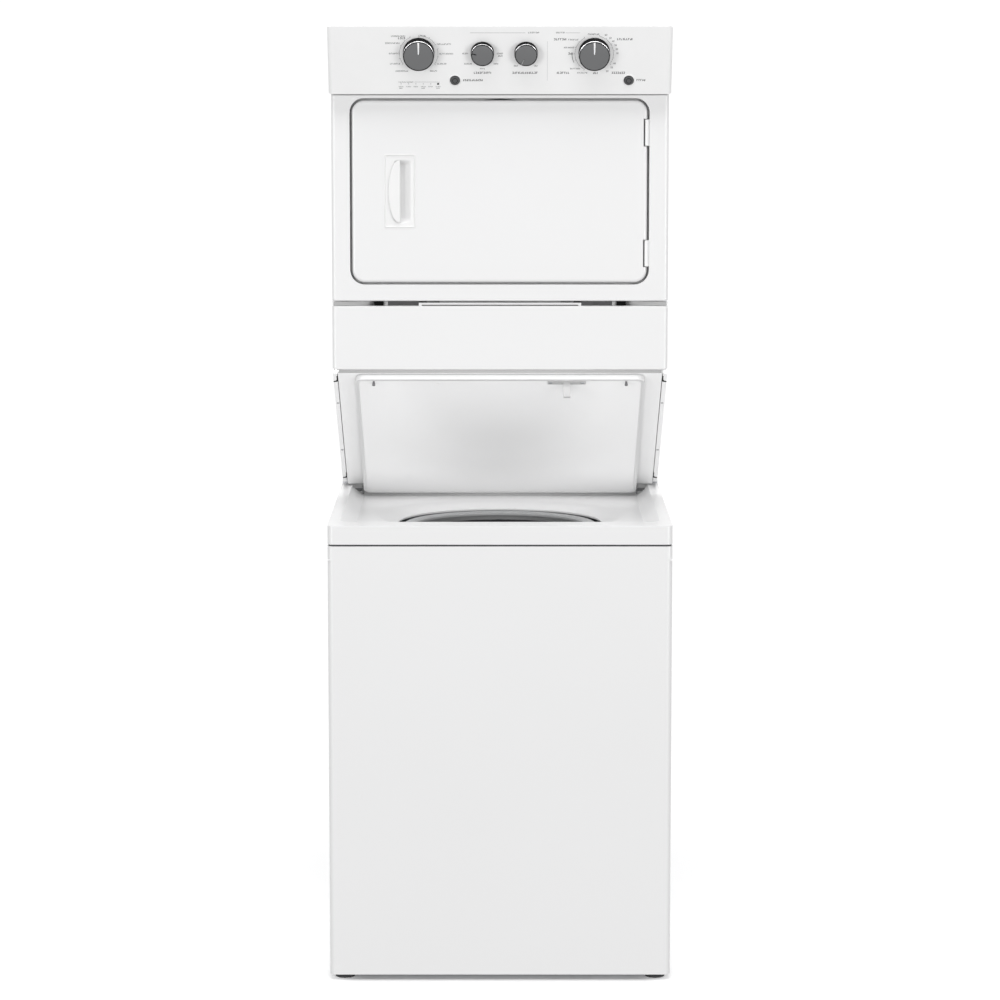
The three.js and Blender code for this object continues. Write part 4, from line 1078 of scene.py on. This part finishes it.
# Each lamp: width and height, place, what it looks at, and power in watts.
LAMPS = {
    "left_key": ((2.0, 2.6), (-3.8, -5.2, 1.3), (0, -0.3, 1.1), 108),
    "right_key": ((2.0, 2.6), (3.8, -5.2, 1.3), (0, -0.3, 1.1), 108),
    "overhead": ((3.0, 3.0), (0, -1.2, 4.6), (0, -0.2, 0.9), 90),
    "alcove_fill": ((0.9, 0.3), (0, -1.7, 0.98), (0, 0.1, 1.02), 1.6),
    "deck_fill": ((0.9, 0.12), (0, 0.15, 1.02), (0, 0.19, 0.9), 0.48),
}
ALCOVE_NODES = ("lid_inner", "lid_recess_panel", "left_side_panel", "right_side_panel", "tub_ring")
ALCOVE_PIECES = ("lid_bead", "stand_lip")


def area_light(name, size, location, target, power):
    """A rectangular lamp aimed at a point."""
    data = bpy.data.lights.new(name, "AREA")
    data.shape = "RECTANGLE"
    data.size, data.size_y = size
    data.energy = power
    light = bpy.data.objects.new(name, data)
    light.location = location
    aim = Vector(target) - Vector(location)
    light.rotation_euler = aim.to_track_quat("-Z", "Y").to_euler()
    bpy.context.collection.objects.link(light)
    return light


def paint_contact_shadow(material):
    """Paints a contact shadow round the base: the floor glows less near it."""
    geometry = new_node(material, "ShaderNodeNewGeometry")
    split = new_node(material, "ShaderNodeSeparateXYZ")
    link(material, geometry.outputs["Position"], split.inputs[0])
    far = new_node(material, "ShaderNodeMath", operation="MAXIMUM")
    for index, (axis, half) in enumerate(zip("XY", FLOOR_DIM_HALF)):
        size = new_node(material, "ShaderNodeMath", operation="ABSOLUTE")
        link(material, split.outputs[axis], size.inputs[0])
        gap = new_node(material, "ShaderNodeMath", operation="SUBTRACT")
        gap.inputs[1].default_value = half
        link(material, size.outputs[0], gap.inputs[0])
        link(material, gap.outputs[0], far.inputs[index])
    glow = new_node(material, "ShaderNodeMapRange", interpolation_type="SMOOTHSTEP")
    glow.inputs["From Min"].default_value = FLOOR_DIM_FROM
    glow.inputs["From Max"].default_value = FLOOR_DIM_TO
    glow.inputs["To Min"].default_value = FLOOR_LEAST_GLOW
    glow.inputs["To Max"].default_value = FLOOR_GLOW
    link(material, far.outputs[0], glow.inputs["Value"])
    feed(material, "Emission Strength", glow.outputs["Result"])


def studio_floor():
    """A white floor that glows a little, with a painted contact shadow round the base, and lights nothing
    by bounce.
    """
    bpy.ops.mesh.primitive_plane_add(size=1, location=(0, 0, 0))
    floor = bpy.context.object
    floor.name = "studio_floor"
    floor.scale = (FLOOR_SIZE, FLOOR_SIZE, 1)
    paint = principled("studio_floor", (0.9, 0.9, 0.9), 0.7, Emission_Color=(1, 1, 1, 1))
    paint_contact_shadow(paint)
    floor.data.materials.append(paint)
    floor.visible_diffuse = False


def white_surround():
    """A white world, seen and mirrored at full white, that lights matt surfaces with a softer glow."""
    world = bpy.data.worlds.new("studio")
    bpy.context.scene.world = world
    world.use_nodes = True
    tree = world.node_tree
    background = tree.nodes["Background"]
    background.inputs["Color"].default_value = (1, 1, 1, 1)
    path = tree.nodes.new("ShaderNodeLightPath")
    strength = tree.nodes.new("ShaderNodeMapRange")
    strength.inputs["To Min"].default_value = WORLD_SEEN
    strength.inputs["To Max"].default_value = WORLD_GLOW
    tree.links.new(path.outputs["Is Diffuse Ray"], strength.inputs["Value"])
    tree.links.new(strength.outputs["Result"], background.inputs["Strength"])


def light_only(light, name, pieces):
    """Links a lamp to a few pieces and gives back their collection."""
    lit = bpy.data.collections.new(name)
    for piece in pieces:
        lit.objects.link(piece)
    light.light_linking.receiver_collection = lit
    return lit


def lamps():
    """Two keys and an overhead lamp, and two unseen fills for the alcove over the washer."""
    made = {name: area_light(name, *settings) for name, settings in LAMPS.items()}
    fill = made["alcove_fill"]
    fill.data.spread = math.radians(FILL_SPREAD)
    fill.visible_camera = False
    deck_fill = made["deck_fill"]
    deck_fill.visible_camera = False
    deck_fill.visible_glossy = False
    alcove = [NODES[name] for name in ALCOVE_NODES] + [bpy.data.objects[name] for name in ALCOVE_PIECES]
    light_only(fill, "alcove", alcove)
    deck_area = light_only(deck_fill, "deck_area", [NODES["washer_top"]])
    deck_fill.light_linking.blocker_collection = deck_area


studio_floor()
white_surround()
lamps()
bpy.context.scene.view_settings.view_transform = "Standard"
bpy.context.scene.view_settings.look = "None"


# ---------- camera, in metres and degrees ----------

CAMERA_DISTANCE = 7.0
CAMERA_HEIGHT = 1.8936
CAMERA_PITCH = 7.40
CAMERA_LENS = 127.13
SENSOR_WIDTH = 36.0
CAMERA_RANGE = (0.1, 100.0)

camera_data = bpy.data.cameras.new("camera")
camera_data.lens = CAMERA_LENS
camera_data.sensor_width = SENSOR_WIDTH
camera_data.clip_start, camera_data.clip_end = CAMERA_RANGE
camera = bpy.data.objects.new("camera", camera_data)
camera.location = (0, WASHER_FRONT - CAMERA_DISTANCE, CAMERA_HEIGHT)
camera.rotation_euler = (math.radians(90 - CAMERA_PITCH), 0, 0)
bpy.context.collection.objects.link(camera)
bpy.context.scene.camera = camera
